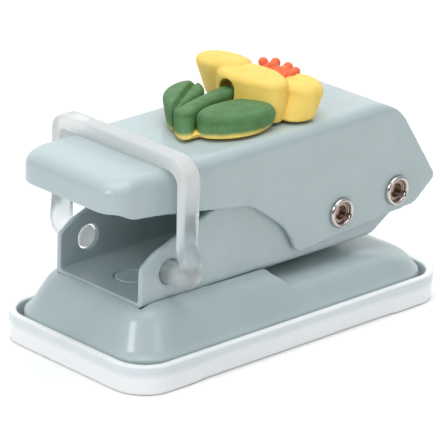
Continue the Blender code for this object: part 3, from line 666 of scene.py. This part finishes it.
def build_base():
    base = base_form("base_pressing", 0.0)
    hollow = base_form("hollow", SHEET)
    for body, offset in ((base, 0.0), (hollow, SHEET)):
        cut(body, bed_cutter("bed", offset))
        cut(body, pocket_cutter("pocket", offset))
    cut(base, hollow)
    for x, radius in ((DIE_X, 5.2), (RIVET_X[0], 2.2), (RIVET_X[1], 2.2)):
        cut(base, rod("top_hole", radius, (x, 0.0, 8.0), (x, 0.0, 16.0)))
    skin(base, SKIN_VOXEL, 4)
    install(base, "base", paint_base, "paint", "base_plate")


# ---- channel frame

def channel(name, inset, low_x, high_x, top):
    """The filled U of the frame, open upwards."""
    half = FRAME_HALF - inset
    bend = 1.7 - inset
    corners = ((-half, top), (-half, FLOOR_Z + inset), (half, FLOOR_Z + inset), (half, top))
    section = fillet(corners, (0.0, bend, bend, 0.0), 10)
    return loft(name, [[(x, p[0], p[1]) for p in section] for x in (low_x, high_x)])


def build_frame():
    front, rear = frame_low.x, frame_high.x
    body = channel("channel_frame", 0.0, front - 5.0, rear + 5.0, 40.0)
    cut(body, channel("hollow", SHEET, front - 9.0, rear + 9.0, 45.0))
    points = (
        (front, FLOOR_Z), (28.0, FLOOR_Z), (34.2, 17.7), (rear, 19.0), (rear, 27.5),
        (29.5, WALL_TOP), (-14.6, WALL_TOP), (-31.2, 24.75), (front, 22.4),
    )
    outline = fillet(points, (0.0, 0.6, 2.0, 3.6, 4.4, 6.0, 7.0, 1.8, 1.6))
    combine(body, prism("profile", outline, 20.0), "INTERSECT")
    across = Vector((0.0, 20.0, 0.0))
    for name, radius, centre in (("pivot_bore", 1.65, PIVOT), ("peg_bore", 2.6, BAIL_AXIS)):
        cut(body, rod(name, radius, centre - across, centre + across))
    half_slot = 1.9
    stroke = 2.5  # the drive rivet's travel, on which it also swings back a little
    slot_low, slot_high = DRIVE.z - stroke - half_slot, DRIVE.z + half_slot
    slot_front, slot_back = DRIVE.x - half_slot, DRIVE.x + half_slot + 0.4
    slot = (
        (slot_front, slot_low), (slot_back, slot_low),
        (slot_back, slot_high), (slot_front, slot_high),
    )
    cut(body, prism("drive_slot", fillet(slot, (1.6,) * 4), 20.0))
    for x, radius in ((DIE_X, 4.4), (RIVET_X[0], 3.55), (RIVET_X[1], 3.55)):
        cut(body, rod("floor_hole", radius, (x, 0.0, FLOOR_Z - 1.0), (x, 0.0, FLOOR_Z + 2.5)))
    skin(body, SKIN_VOXEL, 4)
    install(body, "base", paint_frame, "paint", "lower_frame")


# ---- handle

def handle_plan(offset, side_inset, front_inset):
    """The handle seen from above, from the rear right round the nose to the rear left. It runs on
    past the rear end, where the side view trims it."""
    rear = 50.0 + (5.0 if offset else 0.0)
    nose = handle_low.x + offset + front_inset
    half = HANDLE_HALF - offset - side_inset
    jog = 0.5  # how much narrower the nose is on each side
    right = []
    stations = [rear, 30.0, 10.0, -10.0, -22.0] + [-25.0 - 0.5 * k for k in range(16)]
    for x in stations:
        share = min(max((-27.2 - x) / 3.4, 0.0), 1.0)
        right.append((x, -half + jog * share * share * (3.0 - 2.0 * share)))
    corner = 5.0 - offset - 0.3 * side_inset
    inner = half - jog
    for k in range(13):
        angle = math.pi / 2.0 * k / 12.0
        x = nose + corner - corner * math.sin(angle)
        right.append((x, -inner + corner - corner * math.cos(angle)))
    outline = right + [(x, -y) for x, y in reversed(right)]
    return [(x, y + HANDLE_Y) for x, y in outline]


def handle_form(name, offset):
    """The filled pressing. Its upright sides bend into the top, most roundly at the nose."""
    side_bend = 2.7 - offset
    front_bend = 3.9 - offset
    top = HANDLE_TOP - offset
    levels = [(8.0 if offset else 10.0, 0.0)]  # starts below the skirts
    steps = 10
    for k in range(steps + 1):
        levels.append((top - side_bend, math.pi / 2.0 * k / steps))
    rings = []
    for spring_line, angle in levels:
        rise = side_bend * math.sin(angle)
        drawn = 1.0 - math.cos(angle)
        plan = handle_plan(offset, side_bend * drawn, front_bend * drawn)
        rings.append([(x, y, spring_line + rise + HANDLE_RISE * x) for x, y in plan])
    return loft(name, rings)


def handle_side_view():
    """The cut of both skirts: nose, S-curve, lobe, tail and the slope up to the top."""
    points = (
        (-50.0, FAR), (-50.0, 35.1), (-41.2, 35.1), (-38.2, 33.7), (-26.9, 32.5), (-7.2, 29.5),
        (3.3, 22.0), (5.9, 16.3), (19.0, 17.5), (39.7, 19.2), (45.7, 24.0), (33.3, 42.1),
        (26.0, 43.0), (20.0, FAR),
    )
    radii = (0.0, 0.0, 3.0, 3.0, 0.0, 12.0, 14.0, 2.2, 0.0, 3.5, 1.2, 11.0, 0.0, 0.0)
    return fillet(points, radii, 12)


def build_handle():
    body = handle_form("handle_pressing", 0.0)
    cut(body, handle_form("hollow", SHEET))
    combine(body, prism("profile", handle_side_view(), 20.0), "INTERSECT")
    across = Vector((0.0, 20.0, 0.0))
    for centre in (PIVOT, DRIVE):
        cut(body, rod("bore", 1.6, centre - across, centre + across))
    skin(body, SKIN_VOXEL, 4)
    install(body, "handle", paint_handle, "handle_paint", "handle")


# ---- turned pieces

def build_cross_rivet(name, centre, node, material):
    """Tubular rivet: a domed head on one side and, on the other, a rolled rim round a stepped
    recess."""
    seat = HANDLE_HALF + 0.1
    profile = [(0.0, seat + 0.95)]
    for k in range(9):
        angle = math.pi / 2.0 * k / 8.0
        profile.append((1.6 + 1.6 * math.sin(angle), seat + 0.2 + 0.75 * math.cos(angle)))
    profile += [(3.2, seat), (1.5, seat), (1.5, -seat), (3.15, -seat)]
    middle_radius, half_width, height = 2.7, 0.5, 0.75
    for k in range(13):
        angle = math.pi * k / 12.0
        radius = middle_radius + half_width * math.cos(angle)
        profile.append((radius, -seat - 0.1 - height * math.sin(angle)))
    recess = ((2.2, -0.1), (1.8, 0.35), (1.6, 0.95), (1.45, 1.0), (0.8, 0.92), (0.0, 0.88))
    profile += soften([(radius, -seat + depth) for radius, depth in recess])
    rivet = lathe(name, profile, (centre.x, HANDLE_Y, centre.z), (-math.pi / 2.0, "X"))
    install(rivet, "handle", material, "nickel", node)


def build_frame_rivet(name, x, node):
    """Painted head sunk in the channel's floor, with its closed end under the base."""
    top = FLOOR_Z + SHEET + 0.05
    low = PLATEAU_Z - SHEET
    profile = [(0.0, top - 0.12), (1.8, top - 0.06), (3.1, top), (3.4, top - 0.2)]
    profile += [(3.45, PLATEAU_Z + 0.1), (2.0, PLATEAU_Z + 0.1), (2.0, low - 0.1)]
    profile += [(3.35, low - 0.1), (3.3, low - 0.6), (2.6, low - 1.1), (0.0, low - 1.25)]
    rivet = lathe(name, soften(profile), (x, 0.0, 0.0))
    install(rivet, "base", paint_rivet, "rivet_paint", node)


def build_turned_pieces():
    build_cross_rivet("pivot_rivet_turned", PIVOT, "pivot_rivet", pivot_nickel)
    build_cross_rivet("drive_rivet_turned", DRIVE, "drive_rivet", drive_nickel)
    build_frame_rivet("frame_rivet_a", RIVET_X[0], "frame_rivet_front")
    build_frame_rivet("frame_rivet_b", RIVET_X[1], "frame_rivet_rear")

    die_top = BED_Z - 0.05
    die = [(3.1, die_top - 0.02), (3.2, die_top), (4.85, die_top), (5.0, die_top - 0.15)]
    die += [(5.0, 9.9), (4.6, 9.0), (3.5, 9.0), (3.1, 9.8)]
    die_piece = lathe("die_ring_ground", die, (DIE_X, 0.0, 0.0))
    install(die_piece, "base", ground_steel, "hard_steel", "die_ring")

    floor_top = FLOOR_Z + SHEET
    guide = [(3.1, 16.7), (3.25, 16.8), (4.35, 16.8), (4.5, 16.65), (4.5, 16.0), (5.45, 16.0)]
    guide += [(5.6, 15.85), (5.6, floor_top + 0.1), (4.1, floor_top + 0.1), (4.1, FLOOR_Z + 0.05)]
    guide += [(3.1, FLOOR_Z + 0.05)]
    guide_piece = lathe("punch_guide_turned", guide, (DIE_X, 0.0, 0.0))
    install(guide_piece, "base", nickel, "nickel", "punch_guide")

    half = FRAME_HALF - SHEET - 0.3
    sleeve = [(1.7, half - 0.1), (1.8, half), (2.45, half), (2.6, half - 0.15), (2.6, 0.15 - half)]
    sleeve += [(2.45, -half), (1.8, -half), (1.7, 0.1 - half)]
    sleeve_piece = lathe("pivot_sleeve_turned", sleeve, PIVOT, (-math.pi / 2.0, "X"))
    install(sleeve_piece, "base", nickel, "nickel", "pivot_sleeve")


def build_pin():
    """Ground pin with a hollow tip and a cross slot for the drive rivet."""
    top, low = pin_high.z, pin_low.z
    rim, hollow = 2.96, 0.6  # radius of the cutting edge and depth of the hollow
    profile = [(0.0, top), (2.5, top), (2.85, top - 0.15), (3.0, top - 0.45), (3.0, low + 0.02)]
    profile.append((rim, low))
    for k in range(1, 6):
        angle = math.pi / 2.0 * k / 6.0
        profile.append((rim * math.cos(angle), low + hollow * math.sin(angle)))
    profile.append((0.0, low + hollow))
    pin = lathe("punch_pin_ground", profile, (DIE_X, 0.0, 0.0))
    half = 1.65
    reach = 1.9
    slot = fillet(
        (
            (DIE_X - reach, DRIVE.z - half), (DIE_X + reach, DRIVE.z - half),
            (DIE_X + reach, DRIVE.z + half), (DIE_X - reach, DRIVE.z + half),
        ),
        (1.4,) * 4,
    )
    cut(pin, prism("cross_slot", slot, 6.0))
    pin.data.shade_smooth()
    pin.data.set_sharp_from_angle(angle=math.radians(40.0))
    install(pin, "punch", ground_steel, "hard_steel", "punch_pin")


def build_spring():
    """Round wire coil with close end turns."""
    spring_low, spring_high = box("return_spring")
    centre = (spring_low + spring_high) / 2.0
    wire = 0.5
    radius = (spring_high.x - spring_low.x) / 2.0 - wire
    bottom, top = spring_low.z + wire, spring_high.z - wire
    turns, dead, pitch = 7.0, 0.9, 1.12  # all turns, close turns at each end, and their pitch
    steps = 40  # points in a turn
    sides = 14
    count = int(turns * steps)
    points = []
    for k in range(count + 1):
        turn = k / steps
        live = min(max((turn - dead) / (turns - 2.0 * dead), 0.0), 1.0)
        eased = live - math.sin(2.0 * math.pi * live) * 0.02
        ends = pitch * (min(turn, dead) + max(turn - (turns - dead), 0.0))
        z = bottom + ends + eased * (top - bottom - 2.0 * pitch * dead)
        angle = 2.0 * math.pi * turn
        x, y = centre.x + radius * math.cos(angle), centre.y + radius * math.sin(angle)
        points.append(Vector((x, y, z)))
    rings = []
    for k, point in enumerate(points):
        along = (points[min(k + 1, count)] - points[max(k - 1, 0)]).normalized()
        outward = Vector((point.x - centre.x, point.y - centre.y, 0.0)).normalized()
        side = along.cross(outward)
        size = wire * (0.6 if k in (0, count) else 1.0)
        ring = []
        for j in range(sides):
            angle = 2.0 * math.pi * j / sides
            ring.append(point + outward * size * math.cos(angle) + side * size * math.sin(angle))
        rings.append(ring)
    coil = loft("return_spring_coil", rings)
    install(coil, "base", spring_steel, "spring_steel", "return_spring")
    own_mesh(coil)


# ---- lock bail

def build_bail():
    """Flat loop over the handle whose legs turn into round pegs at their feet."""
    leg = 18.2
    bar_z = bail_high.z - 1.5
    foot_z = BAIL_AXIS.z
    peg_end, peg_root = 10.3, 14.4
    bulge = 1.5  # how far the near elbow stands out past its leg
    corners = (
        (-leg - bulge, foot_z), (-leg - bulge, foot_z + 2.6), (-leg, foot_z + 6.5), (-leg, bar_z),
        (leg, bar_z), (leg, foot_z + 6.5), (leg + 0.1, foot_z + 2.6), (leg + 0.1, foot_z),
    )
    loop = fillet(corners, (2.2, 5.0, 5.0, 3.8, 2.2, 0.0, 0.0, 2.2), 8)
    peg = (peg_end, peg_end + 0.1, peg_end + 0.4, peg_root)
    path = [Vector((-y, foot_z)) for y in peg] + loop + [Vector((y, foot_z)) for y in reversed(peg)]
    sizes = {0: 0.75, 1: 0.94, len(path) - 1: 0.75, len(path) - 2: 0.94}  # rounded ends of the pegs
    rings = []
    sides = 32
    for i, point in enumerate(path):
        along = (path[min(i + 1, len(path) - 1)] - path[max(i - 1, 0)]).normalized()
        normal = Vector((-along.y, along.x))
        flat = smooth_step((point.y - foot_z - 1.5) / 7.0)
        grow = sizes.get(i, 1.0)
        leg_thick = 1.05 + 0.5 * smooth_step((point.y - bar_z + 7.0) / 6.0)
        half_width = (2.3 * (1.0 - flat) + 2.1 * flat) * grow
        half_thick = (2.3 * (1.0 - flat) + leg_thick * flat) * grow
        power = 1.0 - 0.72 * flat
        ring = []
        for k in range(sides):
            angle = 2.0 * math.pi * k / sides
            wide, thick = math.cos(angle), math.sin(angle)
            x = half_width * math.copysign(abs(wide) ** power, wide)
            lift = half_thick * math.copysign(abs(thick) ** power, thick)
            y = BAIL_AXIS.y + point.x + lift * normal.x
            ring.append((BAIL_AXIS.x + x, y, point.y + lift * normal.y))
        rings.append(ring)
    bail = loft("lock_bail_loop", rings)
    skin(bail, SOFT_VOXEL, 4)
    install(bail, "bail", bail_plastic, "bail_plastic", "lock_bail")


# ---- flower charm

# Outlines in plan. The foot is where the walls start, and the top, point for point, where they end.
PETALS_FOOT = (
    (2.2, 6.8), (0.8, 4.2), (0.7, -0.8), (1.2, -5.2), (2.4, -8.6), (4.6, -9.3), (6.6, -7.8),
    (8.4, -5.2), (10.6, -1.8), (11.0, 1.6), (10.4, 5.0), (6.5, 7.4),
)
PETALS_TOP = (
    (3.6, 8.2), (1.8, 5.6), (1.6, 1.0), (2.4, -3.6), (4.2, -7.6), (6.6, -8.2), (8.6, -7.0),
    (10.1, -4.8), (11.2, -1.6), (11.4, 1.6), (10.8, 4.8), (8.0, 8.0),
)
RIGHT_PETAL_FOOT = (
    (5.6, -8.6), (6.6, -11.2), (9.0, -12.1), (11.4, -11.8), (13.4, -9.4), (13.6, -6.0),
    (11.4, -3.6), (8.6, -4.6),
)
RIGHT_PETAL_TOP = (
    (8.0, -6.8), (8.6, -10.2), (11.2, -12.3), (14.0, -11.5), (16.1, -8.4), (16.2, -4.7),
    (13.8, -1.8), (10.2, -3.4),
)
LEFT_PETAL_FOOT = (
    (3.8, 6.0), (4.2, 11.0), (6.0, 13.6), (8.4, 13.4), (9.8, 11.0), (10.2, 7.6), (9.2, 4.6),
    (5.8, 3.6),
)
LEFT_PETAL_TOP = (
    (2.9, 8.4), (2.5, 12.8), (4.8, 15.5), (8.4, 14.8), (10.2, 12.2), (10.9, 8.2), (9.9, 4.8),
    (5.8, 4.6),
)
STAMENS_FOOT = (
    (11.4, -3.4), (13.0, -4.4), (14.8, -2.5), (15.0, 1.5), (14.2, 5.2), (12.2, 5.2),
)
STAMENS_TOP = (
    (11.4, -3.6), (13.0, -4.4), (14.6, -2.4), (14.8, 1.4), (14.1, 5.0), (12.3, 5.2),
)
KNOBS = (
    (12.8, 4.6), (13.0, 1.9), (12.9, -1.4), (14.9, 3.2), (15.1, -0.2), (14.4, -3.0),
    (12.6, -3.6),
)
STEM_FOOT = (
    (-17.3, -4.3), (-16.8, -1.8), (-14.9, 0.5), (-9.5, 2.6), (-3.0, 4.2), (3.4, 5.3), (3.8, 1.9),
    (-2.0, 1.2), (-6.0, 0.3), (-10.6, -1.7), (-13.2, -3.4), (-15.4, -5.0),
)
STEM_TOP = (
    (-15.0, -1.0), (-14.7, 1.3), (-13.2, 2.0), (-9.5, 3.2), (-3.0, 4.7), (3.3, 5.6), (3.6, 1.9),
    (-2.0, 1.1), (-6.0, 0.5), (-10.2, -0.9), (-12.0, -1.8), (-13.8, -2.1),
)
LEFT_LEAF_FOOT = (
    (-9.0, 3.2), (-2.6, 6.2), (-0.6, 9.2), (-1.6, 11.8), (-5.4, 11.6), (-9.6, 8.8), (-12.7, 5.3),
    (-14.3, 2.9), (-14.9, 0.9),
)
LEFT_LEAF_TOP = (
    (-9.0, 3.3), (-2.2, 5.9), (0.1, 9.4), (-1.0, 12.2), (-4.5, 12.5), (-8.5, 10.8), (-11.7, 7.6),
    (-13.7, 4.4), (-14.3, 1.8),
)
RIGHT_LEAF_FOOT = (
    (-13.4, -4.6), (-12.6, -7.4), (-9.6, -9.8), (-5.7, -11.0), (-2.0, -10.9), (1.6, -9.7),
    (3.0, -7.4), (1.8, -4.4), (-1.6, -1.0), (-7.0, -0.8), (-11.0, -2.2),
)
RIGHT_LEAF_TOP = (
    (-12.4, -3.8), (-11.4, -6.4), (-8.2, -8.7), (-4.2, -10.1), (-0.8, -10.5), (2.2, -10.1),
    (4.1, -7.2), (3.2, -3.8), (0.4, -0.4), (-6.8, 0.3), (-11.0, -1.2),
)
BACKING = (
    (-16.3, -3.9), (-15.8, -1.8), (-14.2, 0.6), (-13.6, 2.6), (-12.2, 4.6), (-9.3, 7.8),
    (-5.2, 10.6), (-1.8, 10.9), (-0.9, 7.0), (-0.3, 0.0), (0.8, -3.5), (2.4, -7.4), (1.2, -9.1),
    (-2.0, -10.3), (-5.7, -10.4), (-9.4, -9.2), (-12.1, -7.0), (-12.9, -5.0), (-14.8, -4.5),
)


def charm_z(x, height):
    """Height above the origin of a place on the charm, which lies on the handle's sloped top."""
    return CHARM_Z + HANDLE_RISE * x + height


def turns_left(outline):
    """Whether a closed outline runs anticlockwise."""
    return sum(a.x * b.y - b.x * a.y for a, b in zip(outline, outline[1:] + outline[:1])) > 0.0


def inset(outline, distance):
    """A closed anticlockwise outline drawn inwards by a distance."""
    count = len(outline)
    drawn = []
    for i, point in enumerate(outline):
        along = (outline[(i + 1) % count] - outline[i - 1]).normalized()
        inward = Vector((-along.y, along.x))
        drawn.append(point + inward * distance)
    return drawn


def pillow(name, foot, top, height, shoulder, crown, lift=0.0):
    """A soft moulded form between a foot outline and a top outline, with a round shoulder and a
    crowned top."""
    foot = through(foot, 8)
    top = through(top, 8)
    if not turns_left(foot):
        foot.reverse()
        top.reverse()
    layers = [(inset(foot, 0.45), 0.0), (inset(foot, 0.2), 0.15), (inset(foot, 0.05), 0.4)]
    wall_steps, arc_steps, crown_steps = 5, 6, 5
    for k in range(1, wall_steps + 1):
        t = k / wall_steps
        outline = [a.lerp(b, t) for a, b in zip(foot, top)]
        layers.append((outline, t * (height - shoulder)))
    for k in range(1, arc_steps + 1):
        angle = math.pi / 2.0 * k / arc_steps
        outline = inset(top, shoulder * (1.0 - math.cos(angle)))
        layers.append((outline, height - shoulder * (1.0 - math.sin(angle))))
    flat = layers[-1][0]
    centre = sum(flat, Vector((0.0, 0.0))) / len(flat)
    for k in range(1, crown_steps + 1):
        t = k / (crown_steps + 1)
        outline = [point.lerp(centre, t) for point in flat]
        layers.append((outline, height + crown * (1.0 - (1.0 - t) ** 2)))
    rings = []
    for outline, level in layers:
        rings.append([(point.x, point.y, charm_z(point.x, lift + level)) for point in outline])
    return loft(name, rings)


def groove(obj, start, end, width, depth, floor):
    """Presses a line into the top of a soft form. Its ends are in plan, and it fades out towards
    the floor height."""
    start, end = Vector(start), Vector(end)
    line = end - start
    for vert in obj.data.vertices:
        spot = Vector((vert.co.x, vert.co.y)) / MM
        share = min(max((spot - start).dot(line) / line.length_squared, 0.0), 1.0)
        away = (spot - start - line * share).length
        height = vert.co.z / MM - floor
        if height > 0.0:
            vert.co.z -= MM * depth * math.exp(-((away / width) ** 2)) * min(1.0, height / 2.0)


def arch_cutter():
    """The tunnel through the front petal that the stem runs into."""
    radius, upright = 2.3, 4.1  # the round top stands on upright sides
    rings = []
    for x, y in ((-4.0, 2.4), (4.9, 3.9)):
        ring = [(x, y - radius, charm_z(x, -1.0)), (x, y + radius, charm_z(x, -1.0))]
        for k in range(13):
            angle = math.pi * k / 12.0
            z = charm_z(x, upright + radius * math.sin(angle))
            ring.append((x, y + radius * math.cos(angle), z))
        rings.append(ring)
    return loft("arch", rings)


def mould(piece, name, relax, material, slot, node):
    """Finishes a soft form of the charm, which rides on the handle."""
    skin(piece, SOFT_VOXEL, relax)
    piece.name = name
    install(piece, "handle", material, slot, node)


def build_flower():
    petals = pillow("petals", PETALS_FOOT, PETALS_TOP, 7.6, 1.5, 0.35)
    right_petal = pillow("right", RIGHT_PETAL_FOOT, RIGHT_PETAL_TOP, 6.8, 2.0, 0.2)
    left_petal = pillow("left", LEFT_PETAL_FOOT, LEFT_PETAL_TOP, 8.45, 1.4, 0.25)
    join(petals, right_petal)
    join(petals, left_petal)
    cut(petals, arch_cutter())
    mould(petals, "petals_moulded", 6, petal_finish, "petal_yellow", "flower_petals")


def build_stamens():
    """Orange cluster behind the middle petal, with knobs that show over its rim."""
    body = pillow("stamens", STAMENS_FOOT, STAMENS_TOP, 7.0, 0.8, 0.2)
    bm = bmesh.new()
    bm.from_mesh(body.data)
    for k, (x, y) in enumerate(KNOBS):
        place = Matrix.Translation(MM * Vector((x, y, charm_z(x, 7.2 - 0.08 * k))))
        bmesh.ops.create_icosphere(bm, subdivisions=3, radius=1.05 * MM, matrix=place)
    bm.to_mesh(body.data)
    bm.free()
    mould(body, "stamens_moulded", 5, stamen_finish, "stamen_orange", "flower_stamens")


def build_stem():
    stem = pillow("stem", STEM_FOOT, STEM_TOP, 4.5, 1.1, 0.2)
    mould(stem, "stem_moulded", 6, leaf_finish, "leaf_green", "flower_stem")


def build_leaves():
    left = pillow("leaf_l", LEFT_LEAF_FOOT, LEFT_LEAF_TOP, 4.75, 1.2, 0.3)
    right = pillow("leaf_r", RIGHT_LEAF_FOOT, RIGHT_LEAF_TOP, 4.1, 1.8, 0.55)
    for piece, node in ((left, "leaf_left"), (right, "leaf_right")):
        cut(piece, pillow("clearance", STEM_FOOT, STEM_TOP, 5.4, 0.6, 0.4, lift=-0.3))
        mould(piece, node + "_moulded", 5, leaf_finish, "leaf_green", node)
    groove(left, (-14.0, 2.0), (-0.6, 10.4), 0.5, 1.1, CHARM_Z + 1.0)


def build_backing():
    """Thin yellow layer that shows as a line under the green."""
    layer = pillow("backing", BACKING, BACKING, 0.85, 0.2, 0.0, lift=-0.15)
    layer.name = "charm_backing_moulded"
    install(layer, "handle", petal_finish, "petal_yellow", "charm_backing")


# ---- stage

def build_stage():
    """Plain pale floor."""
    bm = bmesh.new()
    bmesh.ops.create_grid(bm, x_segments=8, y_segments=8, size=3000.0)
    floor = mesh_object("floor", bm)
    finish = Finish("floor_paper", Roughness=0.9)
    cloud = finish.noise(400.0, 3.0)
    finish.set("Base Color", finish.mix(cloud, (0.93, 0.93, 0.93), (0.95, 0.95, 0.95)))
    floor.data.materials.append(finish.material)


def add_softbox(name, place, size, watts):
    """A rectangular light that faces the middle of the object. Places and sizes are in metres."""
    light = bpy.data.lights.new(name, "AREA")
    light.shape = "RECTANGLE"
    light.size, light.size_y = size
    light.energy = watts
    obj = bpy.data.objects.new(name, light)
    obj.location = place
    obj.rotation_mode = "QUATERNION"
    target = Vector((0.0, 0.0, 0.02))
    obj.rotation_quaternion = (target - obj.location).to_track_quat("-Z", "Y")
    bpy.context.scene.collection.objects.link(obj)


SKY_LOW, SKY_HIGH = 0.03, 0.80  # brightness of the studio at the horizon and overhead
BACKDROP = 0.9  # extra brightness behind the object
BACKDROP_WAY = (0.716, 0.698, 0.0)


def build_lights():
    world = bpy.data.worlds.new("studio")
    world.use_nodes = True
    tree = world.node_tree
    link = tree.links.new
    place = tree.nodes.new("ShaderNodeTexCoord").outputs["Generated"]
    split = tree.nodes.new("ShaderNodeSeparateXYZ")
    climb = tree.nodes.new("ShaderNodeMapRange")
    climb.inputs["To Min"].default_value = SKY_LOW
    climb.inputs["To Max"].default_value = SKY_HIGH
    behind = tree.nodes.new("ShaderNodeVectorMath")
    behind.operation = "DOT_PRODUCT"
    behind.inputs[1].default_value = BACKDROP_WAY
    backdrop = tree.nodes.new("ShaderNodeMapRange")
    backdrop.inputs["From Min"].default_value = 0.3
    backdrop.inputs["From Max"].default_value = 0.8
    backdrop.inputs["To Max"].default_value = BACKDROP
    total = tree.nodes.new("ShaderNodeMath")
    link(place, split.inputs[0])
    link(split.outputs["Z"], climb.inputs["Value"])
    link(place, behind.inputs[0])
    link(behind.outputs["Value"], backdrop.inputs["Value"])
    link(climb.outputs["Result"], total.inputs[0])
    link(backdrop.outputs["Result"], total.inputs[1])
    background = tree.nodes["Background"]
    background.inputs["Color"].default_value = (0.97, 0.99, 1.0, 1.0)
    link(total.outputs["Value"], background.inputs["Strength"])
    bpy.context.scene.world = world
    add_softbox("top_softbox", (0.0, 0.0, 0.9), (0.7, 0.7), 3.9)
    add_softbox("nose_softbox", (-0.815, -0.081, 0.574), (0.25, 0.3), 2.6)
    add_softbox("side_softbox", (-0.061, -0.817, 0.574), (0.3, 0.25), 0.65)


CAMERA_PLACE = (-0.4365, -0.44692, 0.25956)  # in metres
CAMERA_ANGLES = (-44.258, 21.004, 2.122)  # azimuth, elevation and roll in degrees


def build_camera():
    """Long lens from the front right, slightly above, with a small roll."""
    azimuth, elevation, roll = (math.radians(angle) for angle in CAMERA_ANGLES)
    flat = math.cos(elevation)
    back = Vector((math.sin(azimuth) * flat, -math.cos(azimuth) * flat, math.sin(elevation)))
    level = Vector((math.cos(azimuth), math.sin(azimuth), 0.0))
    above = back.cross(level)
    right = level * math.cos(roll) + above * math.sin(roll)
    up = above * math.cos(roll) - level * math.sin(roll)
    camera = bpy.data.cameras.new("camera")
    camera.sensor_width = 36.0
    camera.lens = 267.6
    camera.clip_start = 0.01
    obj = bpy.data.objects.new("camera", camera)
    turn = Matrix((right, up, back)).transposed().to_4x4()
    obj.matrix_world = Matrix.Translation(CAMERA_PLACE) @ turn
    bpy.context.scene.collection.objects.link(obj)
    bpy.context.scene.camera = obj


build_tray()
build_base()
build_frame()
build_handle()
build_turned_pieces()
build_pin()
build_spring()
build_bail()
build_flower()
build_stamens()
build_stem()
build_leaves()
build_backing()
build_stage()
build_lights()
build_camera()
bpy.context.scene.view_settings.view_transform = "Standard"
